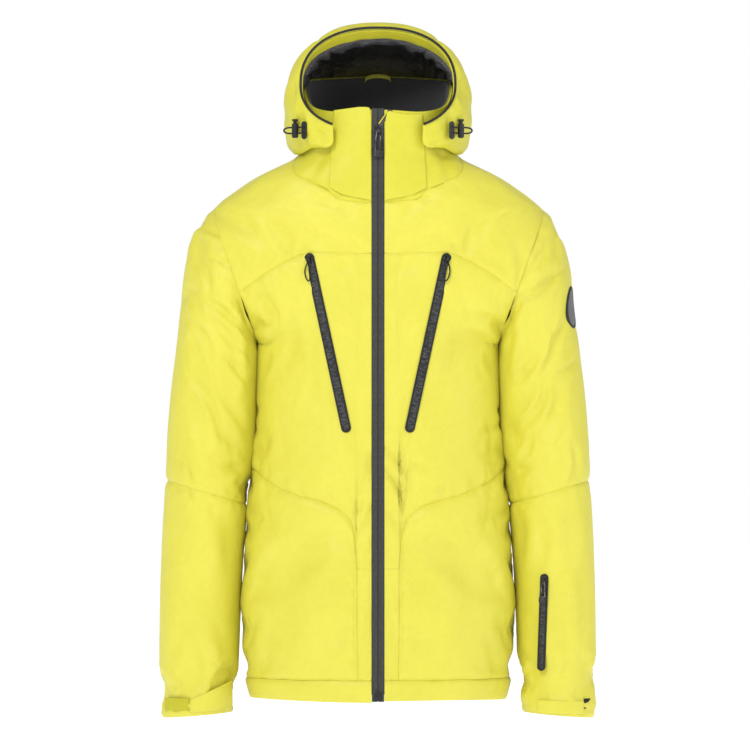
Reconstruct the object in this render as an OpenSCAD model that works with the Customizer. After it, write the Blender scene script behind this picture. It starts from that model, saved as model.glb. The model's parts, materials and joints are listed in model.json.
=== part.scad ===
// Insulated ski jacket, hung by the loop at the back of the neck. Millimetres, +Z up.
// The front of the jacket faces -Y and the wearer's left arm is on the +X side.

/* [Body] */
// Drop from the hanger loop to the bottom of the hem
hem_drop = 872; // [866:1:880]
// Half-width of the body at the hip
hip_half = 189; // [184:0.5:190]
// Half-width of the body just under the armpit
armpit_half = 166; // [162:0.5:167]
// Distance forward of the loop to the front of the collar at the loop's height
front_reach = 176; // [170:1:182]
// How far the straight front line moves forward for each millimetre of drop
front_lean = 0.067; // [0.06:0.001:0.075]
// Distance behind the loop of the lower back
back_reach = 60; // [50:1:70]
// Roundness exponent of the body's horizontal sections
roundness = 2.3; // [2.1:0.05:2.5]

/* [Shoulder and armhole] */
// Half-width over the shoulder points
shoulder_half = 232; // [228:1:236]
// Drop from the loop to the shoulder points
shoulder_drop = 196; // [190:1:200]
// Drop from the loop to the armpits
armpit_drop = 380; // [376:1:384]
// Half-depth of the armhole, front to back
armhole_half = 88; // [82:1:92]

/* [Layers] */
// Thickness of the outer shell fabric
shell_t = 2; // [1:0.1:2]
// Depth under the outer face at which the wadding starts
wadding_at = 5; // [4.8:0.1:5.2]
// Thickness of the wadding
wadding_t = 3.5; // [2:0.5:3.5]
// Depth under the outer face at which the body lining starts
lining_at = 13; // [12.8:0.1:13.4]
// Thickness of the lining
lining_t = 1; // [0.8:0.1:1.5]
// Width of the gap drawn at a seam between two panels
seam_gap = 0.5; // [0.3:0.1:1]

/* [Main zip] */
// Width of the closed zip tape
zip_w = 17; // [15:0.5:18]
// Thickness of the zip tape
tape_t = 1; // [0.8:0.1:1.2]
// Drop from the loop to the top of the zip
zip_top = 56; // [54:1:60]
// Drop from the loop to the middle of the closed slider
slider_drop = 87; // [80:1:92]

/* [Pocket zips] */
// Width of a chest pocket zip
chest_zip_w = 13.8; // [12:0.2:15]
// Width of the sleeve pocket zip
sleeve_zip_w = 11.6; // [10:0.2:12]
// Length of a puller below its pivot
puller_len = 31; // [26:1:36]

/* [Hood] */
// Diameter of the binding along the hood's front edge
piping_d = 3; // [2.4:0.1:3.4]
// Diameter of the elastic hood cord
hood_cord_d = 2.4; // [2:0.1:2.6]
// Outer diameter of a cord lock
lock_d = 9; // [8.6:0.1:9.6]
// Length of a cord lock's barrel
lock_len = 18; // [17:0.5:20]

/* [Cuffs and badge] */
// Thickness of a cuff strap
strap_t = 2; // [1.4:0.1:2]
// Diameter of the plain round patch on the sleeve
badge_d = 59; // [50:1:62]
// Width of the hanger loop's tape
loop_w = 6; // [5:0.5:7]

/* [Hidden] */

shell_yellow = [0.90, 0.88, 0.24];
facing_yellow = [0.66, 0.66, 0.20];
tape_grey = [0.26, 0.26, 0.24];
lining_black = [0.15, 0.15, 0.16];
trim_black = [0.08, 0.08, 0.09];
metal_grey = [0.45, 0.45, 0.47];

axis_y = -80;
ring_power = 2 / roundness;
zip_half = zip_w / 2;
lean_angle = atan(front_lean);
armhole_mid = -(shoulder_drop + armpit_drop) / 2;
armhole_rise = (armpit_drop - shoulder_drop) / 2;
hem_top = -hem_drop + 29;
shoulder_back = 52;
armpit_back = 74;

// Half-width and back face of the neck and shoulders: height, half-width, y of the back
SHOULDERS = [[0, 103, 14], [-40, 105, 15], [-80, 107, 17], [-108, 110, 20], [-122, 115, 26],
    [-134, 138, 32], [-147, 165, 37], [-160, 186, 41], [-178, 211, 47],
    [-shoulder_drop, shoulder_half, shoulder_back]];
// The same below the armpits
SIDES = [[-armpit_drop, armpit_half, armpit_back], [-490, armpit_half + 2, 72],
    [-571, hip_half - 13, back_reach + 6], [-627, hip_half - 7, back_reach + 2],
    [-680, hip_half - 3.5, back_reach], [-750, hip_half, back_reach], [-806, hip_half - 3, back_reach],
    [-829, hip_half - 8, back_reach], [-843, hip_half - 6, back_reach],
    [-hem_drop, hip_half - 11, back_reach - 2]];
// Seams as share of the way round (0 at the front, 1 at the side, 2 at the back) and height
NECK_SEAM = [[0, -186], [0.12, -180], [0.18, -167], [0.3, -156], [0.66, -131], [1, -117],
    [1.4, -110], [2, -107]];
COLLAR_EDGE = [[0, -58], [0.35, -60], [0.7, -49], [0.95, -22], [1.1, -14], [1.45, -9], [2, -4]];
YOKE_SEAM = [[0, -256], [0.36, -256], [0.46, -262], [0.63, -277], [0.9, -302], [1, -308],
    [1.3, -278], [1.6, -263], [2, -258]];
POCKET_SEAM = [[0.056, -690], [0.07, -642], [0.1, -620], [0.2, -602], [0.39, -589], [0.6, -574],
    [0.82, -559], [1, -552]];
// Share of the way round at which the front strip beside the zip ends
panel_step = 0.055;
// Height left free between the body's neck seam and the collar
neck_gap = 1.6;

// Sleeve rings: station, outer edge x and z, inner edge x and z, half-depth, y of the middle
SLEEVE = [[0, shoulder_half, -shoulder_drop, armpit_half, -armpit_drop, armhole_half, -80],
    [1, 249, -217, 167, -396, 87, -80], [2, 259, -246, 168, -412, 85, -81],
    [3, 266, -288, 169, -432, 82, -82], [4, 271, -340, 170.5, -456, 79, -83],
    [5, 277, -395, 172, -484, 76, -84], [6, 284, -452, 175, -516, 73, -85],
    [7, 289, -512, 179, -556, 71, -86], [8, 292, -570, 183, -602, 69, -87],
    [9, 296, -640, 188.5, -656, 66, -88], [10, 299, -720, 193, -724, 62, -90],
    [11, 300, -800, 196, -798, 58, -91], [12, 300, -850, 198, -846, 55, -92],
    [13, 299, -899, 200, -891, 53, -93]];
elbow_station = 8;
cuff_station = 13;
// Clearance left at the armhole, and the way in which the sleeve stands off the body
arm_gap = 1;
ARM_AWAY = [0.94, 0, -0.34];

// Hood ribs from the front edge back to the nape: station, top y and z, middle y and z,
// half-width, bottom y and z, and the angle from the top at which the rib ends
HOOD = [[0, -140, 58, -152, -22, 108, -190, -88, 148], [0.1, -125, 61, -136, -35, 118, -191, -117, 150],
    [0.22, -105, 62, -112, -45, 124, -178, -138, 133], [0.38, -75, 60, -75, -55, 127, -117, -205, 110],
    [0.55, -30, 50, -25, -58, 124, -35, -160, 117], [0.75, 32, 24, 28, -63, 115, -7, -128, 129],
    [0.86, 66, -6, 50, -72, 104, 14, -119, 131], [0.93, 79, -45, 56, -86, 93, 22, -117, 122],
    [0.97, 74, -78, 50, -98, 83, 30, -115, 108], [1, 46, -104, 38, -106, 72, 38, -106, 90]];
// Angle of the two seams on top of the hood, and the station at which the brim facing ends
hood_seam = 40;
brim_end = 0.13;

// Ends of the sloping pocket zips, upper and lower, on the wearer's left side
CHEST_ZIP_X = [96, 42];
CHEST_ZIP_Z = [-252, -503];
// Ends of the sleeve pocket zip, upper and lower: x and sleeve station
SLEEVE_ZIP = [[230, 9.67], [225.5, 11.68]];
// How far the pocket zips stand off the shell, and their thickness
zip_proud = 2.6;
zip_t = 1.2;

// Route of the left hood cord: out of the eyelet, through the lock, round a loop and back
HOOD_CORD = [[101, -173, -82], [103, -175, -82], [106, -174.5, -82], [109, -170, -82], [112, -166, -82],
    [114.5, -164, -82], [118, -161.6, -82], [122, -159, -82], [126, -157, -82.5], [129, -156, -84],
    [130, -155.5, -86], [129, -156, -88], [126, -157, -89.5], [122, -159, -90], [118, -161.6, -90],
    [114.5, -164, -90], [112, -166, -90], [109, -170, -90], [106, -174.5, -90], [103, -175, -90],
    [101, -173, -90]];
// Middle of the left eyelet patch and its turn about Z
eyelet_at = [101.5, -173.5, -86];
eyelet_turn = 40;
lock_at = [114.5, -164, -86];
lock_turn = 34;
// Height and width of the slot that the cord runs through
lock_slot = 11.5;
lock_slot_w = 3.4;
plunger_d = 5.4;
plunger_bore = 6;
plunger_travel = 3;
// Height of the plunger's foot over the bottom of the barrel
plunger_foot = 6;

// ---- curves and surfaces ----

function clamp(v, low, high) = max(low, min(high, v));

function piece(table, v) = let (last = len(table) - 2,
    hits = [for (i = [0:last]) if ((v - table[i][0]) * (v - table[i + 1][0]) <= 0) i])
    len(hits) > 0 ? hits[0] : (abs(v - table[0][0]) < abs(v - table[last + 1][0]) ? 0 : last);

function steep(table, i, c) = let (a = max(i - 1, 0), b = min(i + 1, len(table) - 1))
    (table[b][c] - table[a][c]) / (table[b][0] - table[a][0]);

// Smooth curve through the rows of a table, read in column c
function smooth(table, v, c = 1) = let (i = piece(table, v), h = table[i + 1][0] - table[i][0],
    s = clamp((v - table[i][0]) / h, 0, 1), m0 = steep(table, i, c) * h, m1 = steep(table, i + 1, c) * h)
    (2 * s ^ 3 - 3 * s ^ 2 + 1) * table[i][c] + (s ^ 3 - 2 * s ^ 2 + s) * m0
    + (3 * s ^ 2 - 2 * s ^ 3) * table[i + 1][c] + (s ^ 3 - s ^ 2) * m1;

function front_y(z) = -front_reach + z * front_lean;
function body_table(z) = z >= -shoulder_drop ? SHOULDERS : SIDES;
function beside_arm(z) = z < -shoulder_drop && z > -armpit_drop;
function armhole_depth(z) = beside_arm(z)
    ? armhole_half * sqrt(1 - ((z - armhole_mid) / armhole_rise) ^ 2) : 0;
function armhole_x(z) = shoulder_half
    + (armpit_half - shoulder_half) * (-z - shoulder_drop) / (armpit_drop - shoulder_drop);
function back_y(z) = beside_arm(z)
    ? shoulder_back + (armpit_back - shoulder_back)
        * (1 - cos(180 * (-z - shoulder_drop) / (armpit_drop - shoulder_drop))) / 2
    : smooth(body_table(z), z, 2);
function body_depth(z, back) = back ? back_y(z) - axis_y : axis_y - front_y(z);
function body_half(z, depth) = beside_arm(z)
    ? armhole_x(z) / (1 - (armhole_depth(z) / depth) ^ roundness) ^ (1 / roundness)
    : smooth(body_table(z), z, 1);
function side_angle(z, depth) = acos((armhole_depth(z) / depth) ^ (roundness / 2));

// Share of the way round at which the front face is x from the middle
function share_at(x, z) = let (depth = body_depth(z, false))
    asin((x / body_half(z, depth)) ^ (roundness / 2)) / side_angle(z, depth);

// Point of the body: way is 0 at the zip's edge, 1 at the side and 2 at the middle of the back
function body_point(way, z, depth_in) = let (back = way > 1, depth = body_depth(z, back),
    half = body_half(z, depth), start = share_at(zip_half + seam_gap, z),
    share = back ? 2 - way : start + (1 - start) * way, u = share * side_angle(z, depth))
    [(half - depth_in) * sin(u) ^ ring_power,
     axis_y + (back ? 1 : -1) * (depth - depth_in) * cos(u) ^ ring_power, z];

// The same for the whole ring: ways from 2 to 4 come back round the other side
function ring_point(way, z, depth_in) = way <= 2 ? body_point(way, z, depth_in)
    : let (p = body_point(4 - way, z, depth_in)) [-p[0], p[1], p[2]];

function sleeve_point(station, angle, depth_in) = let (
    ox = smooth(SLEEVE, station, 1), oz = smooth(SLEEVE, station, 2), ix = smooth(SLEEVE, station, 3),
    iz = smooth(SLEEVE, station, 4), e = smooth(SLEEVE, station, 5), my = smooth(SLEEVE, station, 6),
    half = norm([ox - ix, oz - iz]) / 2, keep = (half - depth_in) / half)
    [(ox + ix) / 2 + (ox - ix) / 2 * keep * cos(angle), my - (e - depth_in) * sin(angle),
     (oz + iz) / 2 + (oz - iz) / 2 * keep * cos(angle)];

// Point of the hood: t is 0 at the front edge and 1 at the nape, angle is 0 on top and
// grows to both sides
function hood_point(t, angle, depth_in) = let (ty = smooth(HOOD, t, 1), tz = smooth(HOOD, t, 2),
    cy = smooth(HOOD, t, 3), cz = smooth(HOOD, t, 4), w = smooth(HOOD, t, 5),
    by = smooth(HOOD, t, 6), bz = smooth(HOOD, t, 7), up = abs(angle) <= 90,
    ey = up ? ty - cy : by - cy, ez = up ? tz - cz : bz - cz, reach = max(norm([ey, ez]), 1),
    side = sign(sin(angle)) * abs(sin(angle)) ^ ring_power, rise = abs(cos(angle)) ^ ring_power,
    keep = (reach - min(depth_in, reach * 0.8)) / reach)
    [(w - depth_in) * side, cy + ey * rise * keep, cz + ez * rise * keep];
function hood_end(t) = smooth(HOOD, t, 8);

// ---- solids built from grids of points ----

// Closed sheet between an outer and an inner grid: rows run up, columns run right, seen
// from outside
module sheet(outer, inner, wrap = false) {
    rows = len(outer) - 1;
    cols = len(outer[0]);
    quads = wrap ? cols : cols - 1;
    total = (rows + 1) * cols;
    function o(r, c) = r * cols + c % cols;
    function i(r, c) = total + r * cols + c % cols;
    faces = [for (r = [0:rows - 1], c = [0:quads - 1]) each [[o(r, c), o(r + 1, c), o(r + 1, c + 1)],
            [o(r, c), o(r + 1, c + 1), o(r, c + 1)], [i(r, c), i(r + 1, c + 1), i(r + 1, c)],
            [i(r, c), i(r, c + 1), i(r + 1, c + 1)]]];
    rims = [for (c = [0:quads - 1]) each [[o(0, c), o(0, c + 1), i(0, c + 1)],
            [o(0, c), i(0, c + 1), i(0, c)], [o(rows, c + 1), o(rows, c), i(rows, c)],
            [o(rows, c + 1), i(rows, c), i(rows, c + 1)]]];
    sides = wrap ? [] : [for (r = [0:rows - 1]) each [[o(r + 1, 0), o(r, 0), i(r, 0)],
            [o(r + 1, 0), i(r, 0), i(r + 1, 0)], [o(r, quads), o(r + 1, quads), i(r + 1, quads)],
            [o(r, quads), i(r + 1, quads), i(r, quads)]]];
    polyhedron(points = concat([for (row = outer) each row], [for (row = inner) each row]),
        faces = concat(faces, rims, sides));
}

// Tube of diameter d swept along a list of points
module tube(path, d, sides = 8) {
    last = len(path) - 1;
    function way(k) = path[min(k + 1, last)] - path[max(k - 1, 0)];
    function level(k) = let (w = way(k), n = cross(w, abs(w[2]) > 0.9 * norm(w) ? [0, 1, 0] : [0, 0, 1]))
        n / norm(n);
    points = [for (k = [0:last], a = [0:sides - 1]) let (n = level(k), w = way(k) / norm(way(k)),
        b = cross(w, n)) path[k] + d / 2 * (cos(360 * a / sides) * n + sin(360 * a / sides) * b)];
    walls = [for (k = [0:last - 1], a = [0:sides - 1]) let (next = (a + 1) % sides) each [
        [k * sides + a, (k + 1) * sides + a, (k + 1) * sides + next],
        [k * sides + a, (k + 1) * sides + next, k * sides + next]]];
    polyhedron(points = points, faces = concat(walls, [[for (a = [0:sides - 1]) a]],
        [[for (a = [0:sides - 1]) last * sides + sides - 1 - a]]));
}

// Panel of the body between two seams: ways lists the columns, low and high are functions that
// give heights, and steps lists the rows as shares of the height
module body_panel(ways, low, high, steps, top, thick) {
    function at(way, step) = low(way) + (high(way) - low(way)) * step;
    sheet([for (step = steps) [for (way = ways) ring_point(way, at(way, step), top)]],
        [for (step = steps) [for (way = ways) ring_point(way, at(way, step), top + thick)]]);
}

// Numbers from a to b in n steps
function spread(a, b, n) = [for (k = [0:n]) a + (b - a) * k / n];
function fold_way(way) = way <= 2 ? way : 4 - way;
function neck_z(way) = smooth(NECK_SEAM, fold_way(way)) - seam_gap / 2;
function collar_low(way) = smooth(NECK_SEAM, fold_way(way)) + neck_gap;
function collar_high(way) = smooth(COLLAR_EDGE, fold_way(way));
function yoke_low(way) = smooth(YOKE_SEAM, fold_way(way)) + seam_gap / 2;
function chest_high(way) = smooth(YOKE_SEAM, fold_way(way)) - seam_gap / 2;
function chest_low(way) = way < panel_step ? hem_top + seam_gap / 2
    : smooth(POCKET_SEAM, way) + seam_gap / 2;
function pocket_high(way) = smooth(POCKET_SEAM, way) - seam_gap / 2;
function hem_high(way) = hem_top - seam_gap / 2;
function hem_low(way) = -hem_drop;
function above_hem(way) = hem_top + seam_gap / 2;

// The front panels stop this far short of the side seam
side_stop = 0.997;
front_ways = concat([0], spread(0.06, side_stop, 11));
seam_ways = concat([0.07, 0.1, 0.14, 0.2], spread(0.3, side_stop, 7));
chest_ways = concat([0, 0.03, panel_step - 0.001, panel_step + 0.0005], seam_ways);
pocket_ways = concat([panel_step + 0.006], seam_ways);
back_ways = concat(spread(2 - side_stop, 2, 11), spread(2.09, 2 + side_stop, 10));

// ---- body panels ----

// Rows of the yokes, with one on the shoulder point where the armhole begins
shoulder_step = (-shoulder_drop - 0.01 - yoke_low(1)) / (neck_z(1) - yoke_low(1));
yoke_steps = concat([for (k = [0, 0.18, 0.36, 0.54, 0.7, 0.84, 0.94, 1]) k * shoulder_step],
    spread(shoulder_step + 0.05, 1, 6));
module front_yoke() {
    body_panel(front_ways, function(w) yoke_low(w), function(w) neck_z(w), yoke_steps, 0, shell_t);
}
module front_yoke_left() { color(shell_yellow) front_yoke(); }
module front_yoke_right() { color(shell_yellow) mirror([1, 0, 0]) front_yoke(); }

// Rows of the panels below the yokes, with one on the armpit
function armpit_steps(low, rows) = let (at = (-armpit_drop - 0.01 - low) / (chest_high(1) - low))
    concat(spread(0, at, rows), [for (k = [0.07, 0.18, 0.34, 0.54, 0.77, 1]) at + k * (1 - at)]);
module chest_panel() {
    body_panel(chest_ways, function(w) chest_low(w), function(w) chest_high(w),
        armpit_steps(chest_low(1), 6), 0, shell_t);
}
module chest_panel_left() { color(shell_yellow) chest_panel(); }
module chest_panel_right() { color(shell_yellow) mirror([1, 0, 0]) chest_panel(); }

module lower_front() {
    body_panel(pocket_ways, function(w) above_hem(w), function(w) pocket_high(w),
        spread(0, 1, 7), 0, shell_t);
}
module lower_front_left() { color(shell_yellow) lower_front(); }
module lower_front_right() { color(shell_yellow) mirror([1, 0, 0]) lower_front(); }

module back_yoke() {
    color(shell_yellow)
        body_panel(back_ways, function(w) yoke_low(w), function(w) neck_z(w),
            yoke_steps, 0, shell_t);
}
module back_panel() {
    color(shell_yellow)
        body_panel(back_ways, function(w) above_hem(w), function(w) chest_high(w),
            armpit_steps(above_hem(1), 8), 0, shell_t);
}
hem_rows = [0, 0.45, 1];
module hem_band() {
    color(shell_yellow)
        body_panel(spread(0, 4, 44), function(w) hem_low(w), function(w) hem_high(w),
            hem_rows, 0, shell_t);
}

drawcord_d = 3;
drawcord_way = 0.12;
drawcord_rise = 14;
drawcord_at = 6;
module hem_drawcord() {
    route = [for (way = spread(drawcord_way, 4 - drawcord_way, 48))
        ring_point(way, -hem_drop + drawcord_rise, drawcord_at)];
    color(trim_black) tube(route, drawcord_d, 6);
}

// Layers under the shell: two fronts and a back, open at the zip and the armholes. The rows
// are shares of the height and lie closer together over the shoulders.
layer_rows = [0, 0.2, 0.4, 0.52, 0.6, 0.64, 0.68, 0.74, 0.8, 0.86, 0.9, 0.925, 0.945, 0.963,
    0.98, 1];
layer_stop = 0.985;
layer_over_hem = 4;
layer_under_neck = 6;
module body_layer(top, thick, first) {
    low = function(w) hem_top + layer_over_hem;
    high = function(w) neck_z(w) - layer_under_neck;
    for (side = [0, 1])
        mirror([side, 0, 0])
            body_panel(spread(first, layer_stop, 6), low, high, layer_rows, top, thick);
    body_panel(spread(2 - layer_stop, 2 + layer_stop, 12), low, high, layer_rows, top, thick);
}
module body_wadding() { color("white") body_layer(wadding_at, wadding_t, 0.09); }
module body_lining() { color(lining_black) body_layer(lining_at, lining_t, 0.1); }

// Bags of the two chest pockets, between the wadding and the lining
bag_at = 10;
bag_t = 0.8;
bag_inner = 0.24;
bag_outer = 0.7;
bag_top = -300;
bag_low = -560;
module pocket_bags() {
    color(lining_black)
        for (side = [0, 1])
            mirror([side, 0, 0])
                body_panel(spread(bag_inner, bag_outer, 6), function(w) bag_low,
                    function(w) bag_top, spread(0, 1, 6), bag_at, bag_t);
}

// ---- collar and hanger loop ----

module collar_shell() {
    color(shell_yellow)
        body_panel(spread(0, 4, 40), function(w) collar_low(w), function(w) collar_high(w),
            spread(0, 1, 5), 0, shell_t);
}
knit_at = 6.2;
knit_t = 1.2;
knit_way = 0.08;
module collar_lining() {
    color(lining_black)
        body_panel(spread(knit_way, 4 - knit_way, 32), function(w) collar_low(w) + 3,
            function(w) collar_high(w) - 1, spread(0, 1, 4), knit_at, knit_t);
}

// Point of the front face at x and z, or off it by depth_in
function front_point(x, z, depth_in) = let (depth = body_depth(z, false),
    share = (x / body_half(z, depth)) ^ roundness)
    [x, axis_y - (depth - depth_in) * (1 - share) ^ (1 / roundness), z];

// Facing tab on each side of the zip: x and z of its lower edge, its top, and its outer edge,
// which widens a little on the way down
TAB_LOW = [[0, -185], [43, -176], [67, -162]];
tab_top = -57;
tab_outer = 60;
tab_widen = 0.065;
tab_lift = 0.8;
tab_t = 2.4;
module collar_tab() {
    start = zip_half + seam_gap;
    function tab_edge(z) = tab_outer + (tab_top - 1 - z) * tab_widen;
    function tab_spot(c, r) = let (low = lookup(start + c * (tab_outer + 3 - start), TAB_LOW),
        z = low + (tab_top - low) * r) [start + c * (tab_edge(z) - start), z];
    function grid(depth_in) = [for (r = spread(0, 1, 8)) [for (c = spread(0, 1, 6))
        let (spot = tab_spot(c, r)) front_point(spot[0], spot[1], depth_in)]];
    sheet(grid(-tab_lift - tab_t), grid(-tab_lift));
}
module collar_tab_left() { color(shell_yellow) collar_tab(); }
module collar_tab_right() { color(shell_yellow) mirror([1, 0, 0]) collar_tab(); }

loop_half = 20;
loop_back = 5.4;
loop_t = 1.5;
loop_leg = 3;
loop_drop = 11;
module hanger_loop() {
    color(shell_yellow) {
        translate([-loop_half, -loop_t / 2, -loop_w / 2]) cube([2 * loop_half, loop_t, loop_w]);
        for (side = [-1, 1])
            translate([side * (loop_half - loop_leg / 2) - loop_leg / 2, -loop_t / 2, -loop_w / 2]) {
                cube([loop_leg, loop_back + loop_t / 2, loop_w]);
                translate([0, loop_back - 0.65, -loop_drop]) cube([loop_leg, 1.4, loop_w + loop_drop]);
            }
    }
}

// ---- main zip ----

// Frame on the straight front line: +Z runs up the line and -Y points out of the jacket
module on_front(z) { translate([0, front_y(z), z]) rotate([-lean_angle, 0, 0]) children(); }
zip_run = (hem_drop - zip_top) / cos(lean_angle);

tape_gap = 0.3;
module zip_tape() {
    on_front(-zip_top) translate([tape_gap, 0.2, -zip_run])
        cube([zip_half - tape_gap, tape_t, zip_run]);
}
module zip_tape_left() { color(tape_grey) zip_tape(); }
module zip_tape_right() { color(tape_grey) mirror([1, 0, 0]) zip_tape(); }
coil_w = 3.2;
coil_t = 1.1;
module zip_coil() {
    color(trim_black) on_front(-slider_drop - 10)
        translate([-coil_w / 2, tape_t + 0.4, 12 - hem_drop + slider_drop])
            cube([coil_w, coil_t, hem_drop - slider_drop - 14]);
}

// Box at the foot of the zip, with the pin that goes into it
box_w = 9.2;
box_t = 1.6;
box_tall = 9;
pin_w = 4;
pin_tall = 5;
module zip_box() {
    color(trim_black) on_front(-hem_drop + 1) {
        translate([-box_w / 2, -box_t, 0]) cube([box_w, box_t, box_tall]);
        translate([-pin_w / 2, -box_t, box_tall]) cube([pin_w, box_t, pin_tall]);
    }
}

flap_w = 30;
flap_t = 1.6;
flap_at = 4;
module storm_flap() {
    color(trim_black) on_front(-zip_top - 6)
        translate([-flap_w / 2, flap_at, -zip_run + 16]) cube([flap_w, flap_t, zip_run - 20]);
}

// Slider body: a plate against the tape with a drilled lug for the puller. The pivot is the
// middle of the lug's bore, pivot_out in front of the tape.
pivot_out = 5;
lug_bore_d = 3;
lug_w = 2.4;
lug_tall = 6;
module slider(wide, tall) {
    half = wide / 2;
    rotate([90, 0, 0]) translate([0, 0, 0.5]) linear_extrude(2)
        polygon([[-half * 0.7, -tall / 2], [half * 0.7, -tall / 2], [half, tall * 0.1],
            [half, tall / 2 - 1.5], [half - 1.5, tall / 2], [1.5 - half, tall / 2],
            [-half, tall / 2 - 1.5], [-half, tall * 0.1]]);
    difference() {
        translate([-lug_w / 2, -pivot_out - 2.2, -lug_tall / 2]) cube([lug_w, pivot_out, lug_tall]);
        translate([0, -pivot_out, 0]) rotate([0, 90, 0])
            cylinder(d = lug_bore_d, h = 2.5 * lug_w, center = true, $fn = 32);
    }
}

// Puller: a cord loop threaded through the lug, with a moulded grip on its end
puller_cord_d = 2;
puller_bend = 2.2;
grip = 8;
grip_t = 2.8;
module puller(wide, long) {
    leg = wide / 2;
    run = leg - puller_bend;
    translate([0, -pivot_out, 0]) {
        translate([-run, 0, 0]) rotate([0, 90, 0]) cylinder(d = puller_cord_d, h = 2 * run, $fn = 24);
        for (side = [-1, 1]) {
            translate([side * run, 0, -puller_bend]) rotate([90, 0, 0])
                rotate([0, 0, side > 0 ? 0 : 90])
                    rotate_extrude(angle = 90, $fn = 32) translate([puller_bend, 0])
                        circle(d = puller_cord_d, $fn = 24);
            translate([side * leg, 0, -long + grip])
                cylinder(d = puller_cord_d, h = long - grip - puller_bend, $fn = 24);
        }
        translate([-leg - grip_t / 2, -grip_t / 2, -long])
            cube([wide + grip_t, grip_t, grip + 0.5]);
    }
}

module main_slider() { color(metal_grey) on_front(-slider_drop) slider(9, 15); }
module main_puller() { color(trim_black) on_front(-slider_drop) puller(7.4, puller_len + 5); }

// ---- chest pocket zips ----

function zip_end(k) = front_point(CHEST_ZIP_X[k], CHEST_ZIP_Z[k], 0);
chest_run = zip_end(1) - zip_end(0);
chest_len = norm(chest_run);
chest_lean = asin(-chest_run[1] / chest_len);
chest_slope = atan(chest_run[0] / chest_run[2]);
chest_mid_z = (CHEST_ZIP_Z[0] + CHEST_ZIP_Z[1]) / 2;
chest_mid_x = (CHEST_ZIP_X[0] + CHEST_ZIP_X[1]) / 2;
chest_turn = atan((front_point(chest_mid_x + 8, chest_mid_z, 0)[1]
    - front_point(chest_mid_x - 8, chest_mid_z, 0)[1]) / 16);

// Flat zip of one width that hangs from the origin, with a round lower end
module pocket_zip(wide, long) {
    rotate([90, 0, 0]) {
        translate([-wide / 2, -long + wide / 2, -zip_t / 2]) cube([wide, long - wide / 2, zip_t]);
        translate([0, -long + wide / 2, -zip_t / 2]) cylinder(d = wide, h = zip_t, $fn = 48);
    }
}

// Frame at the upper end of the left chest zip: -Z runs down it and -Y points out
module on_chest() {
    translate(zip_end(0)) rotate([-chest_lean, 0, 0]) rotate([0, chest_slope, 0])
        rotate([0, 0, chest_turn]) translate([0, -zip_proud, 0]) children();
}
chest_slider_at = 12;
chest_puller_len = puller_len + 3;
module chest_zip() { on_chest() pocket_zip(chest_zip_w, chest_len); }
module chest_zip_left() { color(tape_grey) chest_zip(); }
module chest_zip_right() { color(tape_grey) mirror([1, 0, 0]) chest_zip(); }
module on_chest_slider() {
    on_chest() translate([0, -zip_t / 2, -chest_slider_at]) children();
}
module chest_slider_left() { color(metal_grey) on_chest_slider() slider(8, 12); }
module chest_slider_right() { color(metal_grey) mirror([1, 0, 0]) on_chest_slider() slider(8, 12); }
module chest_puller() { on_chest_slider() puller(6.8, chest_puller_len); }
module chest_puller_left() { color(trim_black) chest_puller(); }
module chest_puller_right() { color(trim_black) mirror([1, 0, 0]) chest_puller(); }

// ---- sleeves ----

// Sleeves hang from the armhole: stations run from 0 there to the cuff, and angle 0 is the
// outer edge, 90 the front
function arm_point(station, angle, depth_in) = sleeve_point(station, angle, depth_in)
    + arm_gap * ARM_AWAY;
module sleeve_tube(from, to, rows, top, thick, cols) {
    angles = [for (c = [0:cols - 1]) 90 - 360 * c / cols];
    function grid(depth_in) = [for (station = spread(from, to, rows))
        [for (a = angles) arm_point(station, a, depth_in)]];
    sheet(grid(top), grid(top + thick), true);
}

sleeve_cols = 22;
elbow_gap = 0.005;
sleeve_lining_at = 3.8;
sleeve_lining_t = 4;
module sleeve_upper() {
    sleeve_tube(elbow_station - elbow_gap, 0, 12, 0, shell_t, sleeve_cols);
}
module sleeve_lower() {
    sleeve_tube(cuff_station, elbow_station + elbow_gap, 7, 0, shell_t, sleeve_cols);
}
module sleeve_lining() {
    sleeve_tube(cuff_station - 0.15, 0.3, 12, sleeve_lining_at, sleeve_lining_t, 16);
}
module sleeve_upper_left() { color(shell_yellow) sleeve_upper(); }
module sleeve_upper_right() { color(shell_yellow) mirror([1, 0, 0]) sleeve_upper(); }
module sleeve_lower_left() { color(shell_yellow) sleeve_lower(); }
module sleeve_lower_right() { color(shell_yellow) mirror([1, 0, 0]) sleeve_lower(); }
module sleeve_lining_left() { color(lining_black) sleeve_lining(); }
module sleeve_lining_right() { color(lining_black) mirror([1, 0, 0]) sleeve_lining(); }

// Round patch: a curved sheet on the sleeve, cut by a cylinder that stands square to it
badge_angle = 18;
badge_station = 3.75;
badge_wide = 28;
badge_lift = 0.6;
badge_t = 1.3;
module sleeve_badge() {
    function grid(depth_in) = [for (s = spread(badge_station + 0.75, badge_station - 0.7, 6))
        [for (a = spread(badge_angle + badge_wide, badge_angle - badge_wide, 8))
            arm_point(s, a, depth_in)]];
    color(trim_black) intersection() {
        sheet(grid(-badge_lift - badge_t), grid(-badge_lift));
        translate(arm_point(badge_station, badge_angle, 0)) rotate([0, 85, -badge_angle])
            cylinder(d = badge_d, h = 60, center = true, $fn = 64);
    }
}

// Point on the front of the left sleeve at x, on the ring of a station
function across_arm(x, station) = let (outer = smooth(SLEEVE, station, 1),
    inner = smooth(SLEEVE, station, 3)) (2 * x - outer - inner) / (outer - inner);
function sleeve_front(x, station, depth_in) = arm_point(station,
    acos(clamp(across_arm(x, station), -0.999, 0.999)), depth_in);

// Station of the front of the cuff at height z
CUFF_HEIGHTS = [[-893, 13], [-848, 12], [-799, 11]];

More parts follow.
